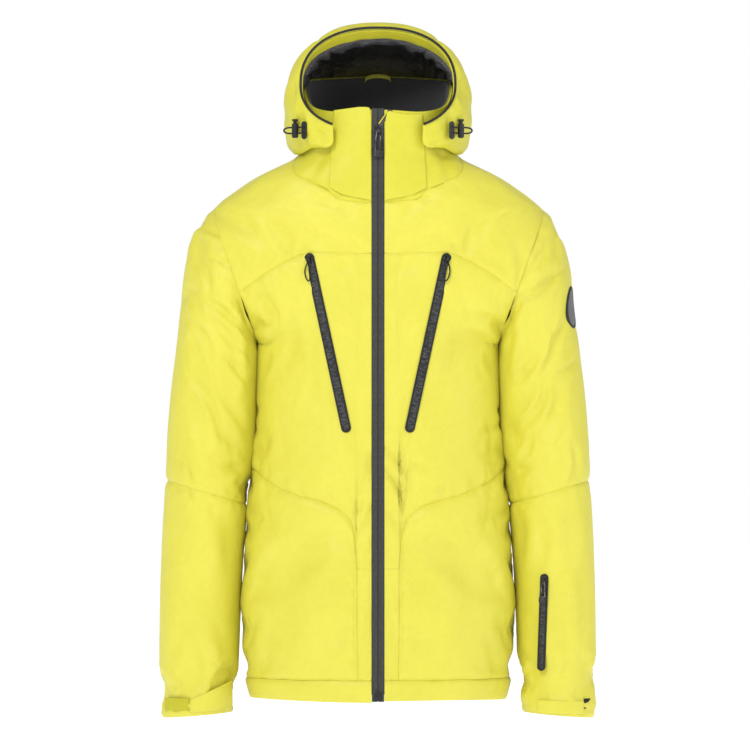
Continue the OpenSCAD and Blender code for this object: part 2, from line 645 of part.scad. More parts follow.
// Patch on the front of the cuff between x0 and x1; each end has a low and a high height
module cuff_patch(x0, low0, high0, x1, low1, high1, top, thick, cols) {
    function grid(depth_in) = [for (r = [0, 0.5, 1]) [for (c = spread(0, 1, cols))
        let (x = x0 + (x1 - x0) * c, low = low0 + (low1 - low0) * c,
            high = high0 + (high1 - high0) * c)
        sleeve_front(x, lookup(low + (high - low) * r, CUFF_HEIGHTS), depth_in)]];
    sheet(grid(top), grid(top + thick));
}
strap_lift = 1.6;
strap_top = -strap_lift - strap_t;
hook_lift = 0.4;
hook_t = 0.7;
hook_top = -hook_lift - hook_t;
module cuff_strap_left() {
    color(shell_yellow) cuff_patch(222, -892, -873, 283, -893, -875, strap_top, strap_t, 10);
}
module cuff_strap_right() {
    color(shell_yellow) mirror([1, 0, 0])
        cuff_patch(204, -887, -847, 259, -890, -873, strap_top, strap_t, 10);
}
module hook_patch_left() {
    color(trim_black) cuff_patch(285, -886, -872, 296, -886, -872, hook_top, hook_t, 4);
}
module hook_patch_right() {
    color(shell_yellow) mirror([1, 0, 0])
        cuff_patch(261, -889, -871, 295, -889, -871, hook_top, hook_t, 6);
}

// Pocket zip on the left sleeve
sleeve_zip_a = sleeve_front(SLEEVE_ZIP[0][0], SLEEVE_ZIP[0][1], 0);
sleeve_zip_b = sleeve_front(SLEEVE_ZIP[1][0], SLEEVE_ZIP[1][1], 0);
sleeve_run = sleeve_zip_b - sleeve_zip_a;
sleeve_len = norm(sleeve_run);
sleeve_turn = -16;
module on_sleeve_zip() {
    translate(sleeve_zip_a) rotate([asin(sleeve_run[1] / sleeve_len), 0, 0])
        rotate([0, atan(sleeve_run[0] / sleeve_run[2]), 0]) rotate([0, 0, sleeve_turn])
            translate([0, -zip_proud - 0.4, 0]) children();
}
sleeve_slider_at = 10;
module sleeve_zip() { color(tape_grey) on_sleeve_zip() pocket_zip(sleeve_zip_w, sleeve_len); }
module on_sleeve_slider() {
    on_sleeve_zip() translate([0, -zip_t / 2, -sleeve_slider_at]) children();
}
module sleeve_zip_slider() { color(metal_grey) on_sleeve_slider() slider(7.4, 11); }
module sleeve_zip_puller() { color(trim_black) on_sleeve_slider() puller(6.4, puller_len); }

// ---- hood ----

// Sheet of the hood that stops trim degrees above the lower end of each rib. It begins at the
// angle first, or on the other side of the hood when first is negative.
module hood_sheet(shares, steps, top, thick, first, trim) {
    function grid(depth_in) = [for (t = steps) [for (share = shares)
        let (end = hood_end(t) - trim, from = first < 0 ? -end : first)
        hood_point(t, from + (end - from) * share, depth_in)]];
    sheet(grid(top), grid(top + thick));
}
hood_steps = [0.004, 0.04, 0.1, 0.16, 0.22, 0.3, 0.38, 0.46, 0.55, 0.65, 0.75, 0.82, 0.88, 0.93,
    0.96, 0.98, 1];
module hood_side() { hood_sheet(spread(0, 1, 9), hood_steps, 0, shell_t, hood_seam + 0.3, 0); }
module hood_side_left() { color(shell_yellow) hood_side(); }
module hood_side_right() { color(shell_yellow) mirror([1, 0, 0]) hood_side(); }
module hood_centre() {
    edge = hood_seam - 0.2;
    function grid(depth_in) = [for (t = hood_steps) [for (a = spread(-edge, edge, 8))
        hood_point(t, a, depth_in)]];
    color(shell_yellow) sheet(grid(0), grid(shell_t));
}

facing_at = 3;
taffeta_at = 5;
inside_t = 1;
taffeta_steps = [0.145, 0.22, 0.3, 0.38, 0.46, 0.55, 0.65, 0.75, 0.82, 0.88, 0.92];
module hood_brim() {
    color(facing_yellow)
        hood_sheet(spread(0, 1, 26), spread(0.004, brim_end, 3), facing_at, inside_t, -1, 1);
}
module hood_lining() {
    color(lining_black)
        hood_sheet(spread(0, 1, 22), taffeta_steps, taffeta_at, inside_t, -1, 3);
}

piping_end = 147;
module hood_piping() {
    stand_off = [0, piping_d / 2 + 0.6, 0];
    color(trim_black)
        tube([for (a = spread(-piping_end, piping_end, 48)) hood_point(0, a, 1) - stand_off],
            piping_d, 6);
}

// Cord lock beside the hood opening: barrel, spring and plunger, stood off the hood's surface
module on_lock() { translate(lock_at) rotate([0, 0, lock_turn]) children(); }
module cord_lock() {
    on_lock() difference() {
        union() {
            translate([0, 0, -lock_len / 2]) cylinder(d = lock_d, h = lock_len, $fn = 48);
            translate([0, 0, -lock_len / 2 - 1.5]) cylinder(d = lock_d - 2, h = 2, $fn = 48);
        }
        translate([0, 0, -lock_len / 2 + 1.5]) cylinder(d = plunger_bore, h = lock_len, $fn = 48);
        translate([-lock_d, -lock_slot_w / 2, -lock_slot / 2])
            cube([2 * lock_d, lock_slot_w, lock_slot]);
    }
}
module lock_plunger() {
    on_lock() difference() {
        union() {
            translate([0, 0, -lock_len / 2 + plunger_foot])
                cylinder(d = plunger_d, h = lock_len - plunger_foot + plunger_travel + 0.7, $fn = 48);
            translate([0, 0, lock_len / 2 + plunger_travel + 0.6])
                cylinder(d = lock_d - 1, h = 3, $fn = 48);
        }
        translate([-lock_d, -lock_slot_w / 2, -lock_len / 2 + 3])
            cube([2 * lock_d, lock_slot_w, plunger_foot + lock_slot]);
    }
}

// Spring under the plunger's foot, drawn as the ring it makes when pressed
spring_d = 5;
spring_bore = 3.4;
module lock_spring() {
    on_lock() translate([0, 0, -lock_len / 2 + 1.7]) difference() {
        cylinder(d = spring_d, h = 1, $fn = 32);
        translate([0, 0, -1]) cylinder(d = spring_bore, h = 3, $fn = 32);
    }
}
module cord_lock_left() { color(trim_black) cord_lock(); }
module cord_lock_right() { color(trim_black) mirror([1, 0, 0]) cord_lock(); }
module lock_plunger_left() { color(trim_black) lock_plunger(); }
module lock_plunger_right() { color(trim_black) mirror([1, 0, 0]) lock_plunger(); }
module lock_springs() {
    color(metal_grey) {
        lock_spring();
        mirror([1, 0, 0]) lock_spring();
    }
}

// Oval patch with one hole for each end of the cord
patch_w = 9;
patch_reach = 8;
patch_t = 1.2;
eyelet_reach = 4;
module eyelet_patch() {
    translate(eyelet_at) rotate([0, 0, eyelet_turn]) rotate([90, 0, 0]) difference() {
        hull() {
            translate([0, patch_reach, 0]) cylinder(d = patch_w, h = patch_t, $fn = 32);
            translate([0, -patch_reach, 0]) cylinder(d = patch_w, h = patch_t, $fn = 32);
        }
        for (side = [-1, 1])
            translate([0, side * eyelet_reach, -1]) cylinder(d = hood_cord_d + 0.6, h = 4, $fn = 32);
    }
}
module eyelet_patches() {
    color(trim_black) {
        eyelet_patch();
        mirror([1, 0, 0]) eyelet_patch();
    }
}
module hood_cord_left() { color(trim_black) tube(HOOD_CORD, hood_cord_d, 7); }
module hood_cord_right() { color(trim_black) mirror([1, 0, 0]) tube(HOOD_CORD, hood_cord_d, 7); }

front_yoke_left();
front_yoke_right();
chest_panel_left();
chest_panel_right();
lower_front_left();
lower_front_right();
back_yoke();
back_panel();
hem_band();
hem_drawcord();
collar_shell();
collar_lining();
collar_tab_left();
collar_tab_right();
hanger_loop();
body_lining();
body_wadding();
storm_flap();
zip_tape_left();
zip_tape_right();
zip_coil();
zip_box();
chest_zip_left();
chest_zip_right();
pocket_bags();
main_slider();
main_puller();
chest_slider_left();
chest_puller_left();
chest_slider_right();
chest_puller_right();
hood_centre();
hood_side_left();
hood_side_right();
hood_brim();
hood_lining();
hood_piping();
hood_cord_left();
hood_cord_right();
eyelet_patches();
cord_lock_left();
cord_lock_right();
lock_springs();
lock_plunger_left();
lock_plunger_right();
sleeve_upper_left();
sleeve_lower_left();
sleeve_lining_left();
sleeve_badge();
sleeve_zip();
sleeve_zip_slider();
sleeve_zip_puller();
hook_patch_left();
cuff_strap_left();
sleeve_upper_right();
sleeve_lower_right();
sleeve_lining_right();
hook_patch_right();
cuff_strap_right();
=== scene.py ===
import json
import math

import bpy
import numpy as np
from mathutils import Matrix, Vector
from mathutils.kdtree import KDTree


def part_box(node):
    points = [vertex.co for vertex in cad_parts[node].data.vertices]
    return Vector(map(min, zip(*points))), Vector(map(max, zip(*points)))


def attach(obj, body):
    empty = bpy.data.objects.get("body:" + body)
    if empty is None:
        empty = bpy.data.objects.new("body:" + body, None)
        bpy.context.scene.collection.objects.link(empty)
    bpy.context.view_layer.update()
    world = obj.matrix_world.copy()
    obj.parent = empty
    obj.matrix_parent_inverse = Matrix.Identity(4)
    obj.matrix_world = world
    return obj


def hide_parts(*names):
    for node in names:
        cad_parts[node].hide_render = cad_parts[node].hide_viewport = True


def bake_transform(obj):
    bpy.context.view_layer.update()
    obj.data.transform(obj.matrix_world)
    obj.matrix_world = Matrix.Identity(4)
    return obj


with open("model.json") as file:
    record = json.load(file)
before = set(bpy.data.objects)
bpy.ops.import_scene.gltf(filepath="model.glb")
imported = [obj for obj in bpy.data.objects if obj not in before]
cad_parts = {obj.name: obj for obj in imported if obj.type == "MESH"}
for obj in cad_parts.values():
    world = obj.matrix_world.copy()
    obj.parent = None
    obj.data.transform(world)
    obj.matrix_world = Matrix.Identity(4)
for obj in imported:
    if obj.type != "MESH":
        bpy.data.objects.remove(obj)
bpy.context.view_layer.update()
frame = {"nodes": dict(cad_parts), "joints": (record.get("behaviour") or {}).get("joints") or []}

MM = 0.001
SIDE_NAMES = {1: "left", -1: "right"}       # the wearer's left is at +x
scene = bpy.context.scene

# ---- the garment's profile in millimetres, the same curves as the CAD part ----

ROUNDNESS = 2.3
RING_POWER = 2 / ROUNDNESS
AXIS_Y = -80
FRONT_REACH = 176
FRONT_LEAN = 0.067
ZIP_HALF = 8.5
ZIP_GAP = 0.4
SLEEVE_CLEAR = [0.94, -0.34]    # x and z by which a sleeve's rings stand off the armhole
SHOULDER_HALF, SHOULDER_DROP = 232, 196
ARMPIT_HALF, ARMPIT_DROP = 166, 380
ARMHOLE_HALF = 88
HEM_DROP = 872
HEM_TOP = -843

# Half-width and back face of the neck and shoulders: height, half-width, y of the back
SHOULDERS = [[0, 103, 14], [-40, 105, 15], [-80, 107, 17], [-108, 110, 20], [-122, 115, 26],
             [-134, 138, 32], [-147, 165, 37], [-160, 186, 41], [-178, 211, 47], [-196, 232, 52]]
# The same below the armpits
SIDES = [[-380, 166, 74], [-490, 168, 72], [-571, 176, 66], [-627, 182, 62], [-680, 185.5, 60],
         [-750, 189, 60], [-806, 186, 60], [-829, 181, 60], [-843, 183, 60], [-872, 178, 58]]
# Seams: share of the way round (0 zip, 1 side, 2 middle of the back) and height
NECK_SEAM = [[0, -186], [0.12, -180], [0.18, -167], [0.3, -156], [0.66, -131], [1, -117],
             [1.4, -110], [2, -107]]
COLLAR_EDGE = [[0, -58], [0.35, -60], [0.7, -49], [0.95, -22], [1.1, -14], [1.45, -9], [2, -4]]
YOKE_SEAM = [[0, -256], [0.36, -256], [0.46, -262], [0.63, -277], [0.9, -302], [1, -308],
             [1.3, -278], [1.6, -263], [2, -258]]
POCKET_SEAM = [[0.056, -690], [0.07, -642], [0.1, -620], [0.2, -602], [0.39, -589], [0.6, -574],
               [0.82, -559], [1, -552], [2, -560]]
PANEL_STEP = 0.056
# Sleeve rings: station, outer edge x and z, inner edge x and z, half-depth, y of the middle
SLEEVE = [[0, 232, -196, 166, -380, 88, -80], [1, 249, -217, 167, -396, 87, -80],
          [2, 259, -246, 168, -412, 85, -81], [3, 266, -288, 169, -432, 82, -82],
          [4, 271, -340, 170.5, -456, 79, -83], [5, 277, -395, 172, -484, 76, -84],
          [6, 284, -452, 175, -516, 73, -85], [7, 289, -512, 179, -556, 71, -86],
          [8, 292, -570, 183, -602, 69, -87], [9, 296, -640, 188.5, -656, 66, -88],
          [10, 299, -720, 193, -724, 62, -90], [11, 300, -800, 196, -798, 58, -91],
          [12, 300, -850, 198, -846, 55, -92], [13, 299, -899, 200, -891, 53, -93]]
ELBOW_STATION = 8
CUFF_STATION = 13
CUFF_SEAM = 12.78           # station of the seam above the sleeve's edge
CUFF_STITCH = 12.74
UNDERARM = 185              # angle of the seam along the inside of a sleeve
# Hood ribs: station, top y and z, middle y and z, half-width, bottom y and z, end angle
HOOD = [[0, -140, 58, -152, -22, 108, -190, -88, 148], [0.1, -125, 61, -136, -35, 118, -191, -117, 150],
        [0.22, -105, 62, -112, -45, 124, -178, -138, 133], [0.38, -75, 60, -75, -55, 127, -117, -205, 110],
        [0.55, -30, 50, -25, -58, 124, -35, -160, 117], [0.75, 32, 24, 28, -63, 115, -7, -128, 129],
        [0.86, 66, -6, 50, -72, 104, 14, -119, 131], [0.93, 79, -45, 56, -86, 93, 22, -117, 122],
        [0.97, 74, -78, 50, -98, 83, 30, -115, 108], [1, 46, -104, 38, -106, 72, 38, -106, 90]]


def smooth(table, v, col=1):
    """Smooth curve through the rows of a table, read in one column, for an array of values."""
    t = np.array(table, float)
    if t[0, 0] > t[-1, 0]:
        t = t[::-1]
    x, y = t[:, 0], t[:, col]
    slope = np.empty(len(x))
    slope[1:-1] = (y[2:] - y[:-2]) / (x[2:] - x[:-2])
    slope[0] = (y[1] - y[0]) / (x[1] - x[0])
    slope[-1] = (y[-1] - y[-2]) / (x[-1] - x[-2])
    v = np.clip(np.asarray(v, float), x[0], x[-1])
    i = np.clip(np.searchsorted(x, v, side="right") - 1, 0, len(x) - 2)
    h = x[i + 1] - x[i]
    s = (v - x[i]) / h
    return ((2 * s**3 - 3 * s**2 + 1) * y[i] + (s**3 - 2 * s**2 + s) * slope[i] * h
            + (3 * s**2 - 2 * s**3) * y[i + 1] + (s**3 - s**2) * slope[i + 1] * h)


def half_way(way):
    """The way round counted from the zip on either half of the body: 0 zip, 1 side, 2 behind."""
    return np.where(way > 2, 4 - way, way)


def front_y(z):
    """y of the front at the zip."""
    return -FRONT_REACH + z * FRONT_LEAN


def armhole_depth(z):
    """Half the armhole's front-to-back size at a height."""
    mid, rise = -(SHOULDER_DROP + ARMPIT_DROP) / 2, (ARMPIT_DROP - SHOULDER_DROP) / 2
    return ARMHOLE_HALF * np.sqrt(np.clip(1 - ((z - mid) / rise) ** 2, 0, 1))


def body_depth(z, back):
    """How far the body reaches in front of or behind its middle line."""
    share = np.clip((-z - SHOULDER_DROP) / (ARMPIT_DROP - SHOULDER_DROP), 0, 1)
    beside = SHOULDERS[-1][2] + (SIDES[0][2] - SHOULDERS[-1][2]) * (1 - np.cos(np.pi * share)) / 2
    below = np.where(share >= 1, smooth(SIDES, z, 2), beside)
    behind = np.where(share <= 0, smooth(SHOULDERS, z, 2), below)
    return np.where(back, behind - AXIS_Y, AXIS_Y - front_y(z))


def body_half(z, depth):
    """Half-width of the body; beside the armholes it is set so that the seam lies on the face."""
    down = (-z - SHOULDER_DROP) / (ARMPIT_DROP - SHOULDER_DROP)
    seam_x = SHOULDER_HALF + (ARMPIT_HALF - SHOULDER_HALF) * down
    beside = seam_x / (1 - (armhole_depth(z) / depth) ** ROUNDNESS) ** (1 / ROUNDNESS)
    above = smooth(SHOULDERS, z, 1)
    below = smooth(SIDES, z, 1)
    return np.where(z >= -SHOULDER_DROP, above, np.where(z <= -ARMPIT_DROP, below, beside))


def side_angle(z, depth):
    """Parameter of the body's curve at which the side seam or armhole lies."""
    return np.arccos(np.clip(armhole_depth(z) / depth, 0, 1) ** (ROUNDNESS / 2))


def share_at(x, z):
    """Share of the way round at which the front face is x from the middle."""
    depth = body_depth(z, False)
    return np.arcsin((x / body_half(z, depth)) ** (ROUNDNESS / 2)) / side_angle(z, depth)


def body_point(way, z, depth_in=0.0):
    """Points of the body, in mm: way is 0 at the zip, 1 at the side, 2 behind and 4 back at the zip."""
    way, z = np.broadcast_arrays(np.asarray(way, float), np.asarray(z, float))
    side = np.where(way > 2, -1.0, 1.0)
    turn = half_way(way)
    back = turn > 1
    depth = body_depth(z, back)
    half = body_half(z, depth)
    start = share_at(ZIP_HALF + ZIP_GAP, z)
    share = np.where(back, 2 - turn, start + (1 - start) * turn)
    u = np.clip(share * side_angle(z, depth), 0, np.pi / 2)
    x = (half - depth_in) * np.sin(u) ** RING_POWER
    y = AXIS_Y + np.where(back, 1, -1) * (depth - depth_in) * np.cos(u) ** RING_POWER
    return np.stack([side * x, y, z], -1)


def front_point(x, z, depth_in=0.0):
    """Points of the front face at x and z, for x on either side."""
    depth = body_depth(z, False)
    ratio = np.clip(np.abs(x) / body_half(z, depth), 0, 1)
    y = AXIS_Y - (depth - depth_in) * (1 - ratio**ROUNDNESS) ** (1 / ROUNDNESS)
    return np.stack(np.broadcast_arrays(x, y, z), -1)


def sleeve_point(station, angle, depth_in=0.0, side=1):
    """Points of a sleeve, in mm: angle is 0 at the outer edge, 90 in front and 180 inside."""
    station, angle = np.broadcast_arrays(np.asarray(station, float), np.radians(angle))
    ox, oz, ix, iz, e, my = [smooth(SLEEVE, station, k) for k in range(1, 7)]
    half = np.hypot(ox - ix, oz - iz) / 2
    keep = (half - depth_in) / half
    x = (ox + ix) / 2 + (ox - ix) / 2 * keep * np.cos(angle) + SLEEVE_CLEAR[0]
    z = (oz + iz) / 2 + (oz - iz) / 2 * keep * np.cos(angle) + SLEEVE_CLEAR[1]
    return np.stack([side * x, my - (e - depth_in) * np.sin(angle), z], -1)


def hood_point(t, angle, depth_in=0.0):
    """Points of the hood, in mm: t is 0 at the face opening and 1 at the nape, angle 0 on top."""
    t, a = np.broadcast_arrays(np.asarray(t, float), np.radians(angle))
    ty, tz, cy, cz, w, by, bz = [smooth(HOOD, t, k) for k in range(1, 8)]
    up = np.abs(a) <= np.pi / 2
    ey, ez = np.where(up, ty, by) - cy, np.where(up, tz, bz) - cz
    reach = np.maximum(np.hypot(ey, ez), 1)
    keep = (reach - np.minimum(depth_in, reach * 0.8)) / reach
    rise = np.abs(np.cos(a)) ** RING_POWER
    x = (w - depth_in) * np.sign(np.sin(a)) * np.abs(np.sin(a)) ** RING_POWER
    return np.stack([x, cy + ey * rise * keep, cz + ez * rise * keep], -1)


HOOD_LAST = 0.997           # share along the ribs at which the hood's cloth ends


def hood_end(t):
    """Angle at which a rib of the hood ends."""
    return smooth(HOOD, t, 8)


# ---- camera, floor and light ----

PICTURE_MIDDLE = (-0.0041, -0.4237)     # x and z that the camera looks at
PICTURE_WIDTH = 1.035                   # metres across at the jacket
CAMERA_AWAY = 10.0
PICTURE_DEPTH = -0.17                   # y at which the width holds
SENSOR = 36.0
WORLD_LIGHT = 0.54
KEY_LIGHT = 62
SIDE_LIGHT = 16
FLOOR_Z = -0.96
FLOOR_HALF = 12.0


def add_camera():
    data = bpy.data.cameras.new("camera")
    data.sensor_width = SENSOR
    data.lens = SENSOR * CAMERA_AWAY / PICTURE_WIDTH
    camera = bpy.data.objects.new("camera", data)
    camera.location = (PICTURE_MIDDLE[0], PICTURE_DEPTH - CAMERA_AWAY, PICTURE_MIDDLE[1])
    camera.rotation_euler = (math.pi / 2, 0, 0)
    scene.collection.objects.link(camera)
    scene.camera = camera


def add_light(name, place, aim, size, power):
    data = bpy.data.lights.new(name, "AREA")
    data.energy = power
    data.size = size
    lamp = bpy.data.objects.new(name, data)
    lamp.location = place
    lamp.rotation_euler = (Vector(aim) - Vector(place)).to_track_quat("-Z", "Y").to_euler()
    scene.collection.objects.link(lamp)


def add_studio():
    """White surroundings, two soft lights and the floor."""
    world = bpy.data.worlds.new("studio")
    world.use_nodes = True
    tree = world.node_tree
    lit = tree.nodes["Background"]
    kinds = ("Background", "LightPath", "MixShader")
    seen, path, mix = [tree.nodes.new("ShaderNode" + kind) for kind in kinds]
    for node, strength in ((lit, WORLD_LIGHT), (seen, 1.0)):
        node.inputs["Color"].default_value = (1, 1, 1, 1)
        node.inputs["Strength"].default_value = strength
    tree.links.new(path.outputs["Is Camera Ray"], mix.inputs["Fac"])
    tree.links.new(lit.outputs[0], mix.inputs[1])
    tree.links.new(seen.outputs[0], mix.inputs[2])
    tree.links.new(mix.outputs[0], tree.nodes["World Output"].inputs["Surface"])
    scene.world = world
    add_light("key", (-1.1, -2.7, 1.9), (0, 0, -0.35), 1.2, KEY_LIGHT)
    add_light("side", (2.6, -1.6, 0.4), (0, 0, -0.4), 1.6, SIDE_LIGHT)
    mesh = bpy.data.meshes.new("floor")
    corners = [(x * FLOOR_HALF, y * FLOOR_HALF, FLOOR_Z) for x, y in ((-1, -1), (1, -1), (1, 1), (-1, 1))]
    mesh.from_pydata(corners, [], [(0, 1, 2, 3)])
    floor = bpy.data.objects.new("floor", mesh)
    floor.data.materials.append(floor_look())
    scene.collection.objects.link(floor)


# ---- materials ----


class Look:
    """A Principled material being put together, with short ways to add nodes."""

    def __init__(self, name, colour, rough, **sockets):
        self.mat = bpy.data.materials.new(name)
        self.mat.use_nodes = True
        self.tree = self.mat.node_tree
        self.shader = self.tree.nodes["Principled BSDF"]
        self.normal = None
        self.uv = self.node("ShaderNodeUVMap")
        self.uv.uv_map = "cloth"
        self.set("Base Color", colour)
        self.set("Roughness", rough)
        for key, value in sockets.items():
            self.set(key.replace("_", " "), value)

    def set(self, socket, value):
        value = (*value, 1) if isinstance(value, tuple) and len(value) == 3 else value
        self.shader.inputs[socket].default_value = value

    def node(self, kind, **settings):
        node = self.tree.nodes.new(kind)
        for key, value in settings.items():
            setattr(node, key, value)
        return node

    def link(self, a, b):
        self.tree.links.new(a, b)

    def coords(self, along="uv", stretch=(1, 1, 1), turn=0.0):
        """Coordinates in metres: along the cloth, or of the piece itself."""
        source = self.uv.outputs["UV"]
        if along == "solid":
            source = self.node("ShaderNodeTexCoord").outputs["Object"]
        place = self.node("ShaderNodeMapping")
        place.inputs["Scale"].default_value = stretch
        place.inputs["Rotation"].default_value = (0, 0, turn)
        self.link(source, place.inputs["Vector"])
        return place.outputs["Vector"]

    def noise(self, size, detail=2.0, rough=0.5, twist=0.0, along="uv", stretch=(1, 1, 1)):
        """Noise with features about size metres wide."""
        node = self.node("ShaderNodeTexNoise")
        node.inputs["Scale"].default_value = 1 / size
        node.inputs["Detail"].default_value = detail
        node.inputs["Roughness"].default_value = rough
        node.inputs["Distortion"].default_value = twist
        self.link(self.coords(along, stretch), node.inputs["Vector"])
        return node.outputs["Fac"]

    def bands(self, period, turn=0.0, twist=0.0, along="uv", profile="SIN"):
        """Parallel threads with the given period in metres."""
        node = self.node("ShaderNodeTexWave", wave_type="BANDS", bands_direction="X", wave_profile=profile)
        node.inputs["Scale"].default_value = 2 * math.pi / (20 * period)
        node.inputs["Distortion"].default_value = twist
        self.link(self.coords(along, turn=turn), node.inputs["Vector"])
        return node.outputs["Fac"]

    def math(self, how, a, b):
        node = self.node("ShaderNodeMath", operation=how)
        for socket, value in zip(node.inputs, (a, b)):
            if isinstance(value, (int, float)):
                socket.default_value = value
            else:
                self.link(value, socket)
        return node.outputs[0]

    def span(self, value, low, high, start=0.0, end=1.0):
        """value between start and end, spread over low to high."""
        node = self.node("ShaderNodeMapRange")
        node.inputs["From Min"].default_value = start
        node.inputs["From Max"].default_value = end
        node.inputs["To Min"].default_value = low
        node.inputs["To Max"].default_value = high
        self.link(value, node.inputs["Value"])
        return node.outputs["Result"]

    def colours(self, share, *stops):
        """Base colour running through stops of (share, colour)."""
        ramp = self.node("ShaderNodeValToRGB")
        band = ramp.color_ramp
        while len(band.elements) < len(stops):
            band.elements.new(0.5)
        for element, (at, colour) in zip(band.elements, stops):
            element.position = at
            element.color = (*colour, 1)
        self.link(share, ramp.inputs["Fac"])
        self.link(ramp.outputs["Color"], self.shader.inputs["Base Color"])

    def roughness(self, share, low, high):
        self.link(self.span(share, low, high), self.shader.inputs["Roughness"])

    def bump(self, height, depth, strength=1.0):
        """Relief of the given depth in metres, laid over what is there."""
        node = self.node("ShaderNodeBump")
        node.inputs["Strength"].default_value = strength
        node.inputs["Distance"].default_value = depth
        self.link(height, node.inputs["Height"])
        if self.normal:
            self.link(self.normal, node.inputs["Normal"])
        self.normal = node.outputs["Normal"]
        self.link(self.normal, self.shader.inputs["Normal"])


def floor_look():
    look = Look("floor_white", (0.93, 0.93, 0.93), 0.8, Emission_Strength=0.6)
    look.set("Emission Color", (1, 1, 1))
    look.colours(look.noise(0.6, along="solid"), (0.3, (0.93, 0.93, 0.93)), (0.7, (0.945, 0.945, 0.945)))
    return look.mat


def shell_look(name, dark, light, gloss=0.5):
    """Coated twill: fine slanting threads, a faint crinkle and a soft sheen."""
    look = Look(name, light, gloss, Specular_IOR_Level=0.5, Sheen_Weight=0.06, Sheen_Roughness=0.5)
    look.set("Sheen Tint", (1.0, 0.97, 0.62))
    threads = look.math("MULTIPLY", look.bands(0.0011, 0.9), look.bands(0.0011, -0.55))
    crinkle = look.noise(0.011, 3.0, 0.55, 0.6)
    creases = look.noise(0.045, 2.0, 0.5, 1.2, stretch=(1.0, 0.7, 1.0))
    patches = look.math("MULTIPLY", look.noise(0.09, 2.0), 0.6)
    tone = look.math("ADD", patches, look.math("MULTIPLY", crinkle, 0.4))
    look.colours(tone, (0.32, dark), (0.68, light))
    look.roughness(crinkle, gloss - 0.06, gloss + 0.1)
    look.bump(creases, 0.0016, 0.55)
    look.bump(crinkle, 0.00045, 0.5)
    look.bump(threads, 0.00009, 0.5)
    return look.mat


def lining_look():
    """Thin shiny taffeta with fine wrinkles."""
    look = Look("lining_taffeta", (0.02, 0.02, 0.023), 0.3, Specular_IOR_Level=0.6)
    creases = look.noise(0.016, 4.0, 0.6, 1.4)
    look.colours(creases, (0.3, (0.018, 0.018, 0.021)), (0.7, (0.052, 0.050, 0.057)))
    look.roughness(look.noise(0.005, 2.0), 0.22, 0.4)
    look.bump(creases, 0.0035, 0.7)
    look.bump(look.noise(0.006, 3.0, 0.6, 0.8), 0.0006, 0.5)
    look.bump(look.math("MULTIPLY", look.bands(0.0006), look.bands(0.0006, math.pi / 2)), 0.00003, 0.5)
    return look.mat


def fleece_look():
    """Brushed knit, dull and short-haired."""
    look = Look("collar_knit", (0.014, 0.014, 0.015), 0.92, Specular_IOR_Level=0.12, Sheen_Weight=0.12,
                Sheen_Roughness=0.7)
    hair = look.noise(0.0012, 4.0, 0.7, 0.4, stretch=(1.0, 0.45, 1.0))
    look.colours(hair, (0.3, (0.048, 0.049, 0.054)), (0.75, (0.096, 0.098, 0.106)))
    look.bump(look.noise(0.03, 2.0), 0.0012, 0.4)
    look.bump(hair, 0.0005, 0.6)
    return look.mat


def tape_look():
    """Woven zip tape with a herringbone grain and a thin coating."""
    look = Look("zip_tape_woven", (0.045, 0.045, 0.044), 0.5, Specular_IOR_Level=0.35)
    grain = look.math("MULTIPLY", look.bands(0.0009, 0.8), look.bands(0.0009, -0.8))
    look.colours(look.noise(0.004, 2.0), (0.3, (0.030, 0.031, 0.029)), (0.7, (0.046, 0.048, 0.044)))
    look.roughness(look.noise(0.008, 2.0), 0.42, 0.58)
    look.bump(grain, 0.00012, 0.6)
    look.bump(look.noise(0.02, 2.0), 0.0004, 0.3)
    return look.mat


def relief_look():
    """Raised grey centre of the pocket zips, streaked by its moulding."""
    look = Look("zip_relief", (0.07, 0.07, 0.07), 0.48, Specular_IOR_Level=0.4)
    streak = look.noise(0.0042, 3.0, 0.6, 0.9, stretch=(0.6, 2.2, 1.0))
    look.colours(streak, (0.42, (0.004, 0.004, 0.005)), (0.66, (0.072, 0.074, 0.077)))
    look.roughness(streak, 0.4, 0.62)
    look.bump(streak, 0.0004, 0.8)
    return look.mat


def trim_look():
    """Black rubbery edging and braid."""
    look = Look("trim_black", (0.010, 0.010, 0.011), 0.5, Specular_IOR_Level=0.4)
    strands = look.math("MULTIPLY", *[look.bands(0.0012, turn, along="solid") for turn in (0.7, -0.7)])
    look.colours(strands, (0.1, (0.007, 0.007, 0.008)), (0.8, (0.018, 0.018, 0.019)))
    look.roughness(look.noise(0.003, 2.0, along="solid"), 0.4, 0.6)
    look.bump(strands, 0.0003, 0.7)
    return look.mat


def cord_look():
    """Braided puller cord, black with light flecks."""
    look = Look("cord_flecked", (0.02, 0.02, 0.02), 0.6, Specular_IOR_Level=0.35)
    flecks = look.noise(0.0011, 1.0, along="solid")
    flecks = look.math("MULTIPLY", flecks, look.bands(0.0021, 0.8, along="solid"))
    look.colours(flecks, (0.33, (0.008, 0.008, 0.009)), (0.42, (0.25, 0.25, 0.24)))
    look.bump(look.bands(0.0011, 0.9, along="solid"), 0.0003, 0.8)
    return look.mat


def plastic_look():
    """Moulded acetal with a fine grain and worn edges."""
    look = Look("plastic_black", (0.009, 0.009, 0.010), 0.32, Specular_IOR_Level=0.5)
    grain = look.noise(0.0007, 3.0, 0.6, along="solid")
    shade = look.noise(0.006, 2.0, along="solid")
    look.colours(shade, (0.3, (0.007, 0.007, 0.008)), (0.7, (0.014, 0.014, 0.015)))
    look.roughness(grain, 0.26, 0.42)
    look.bump(grain, 0.00006, 0.5)
    return look.mat


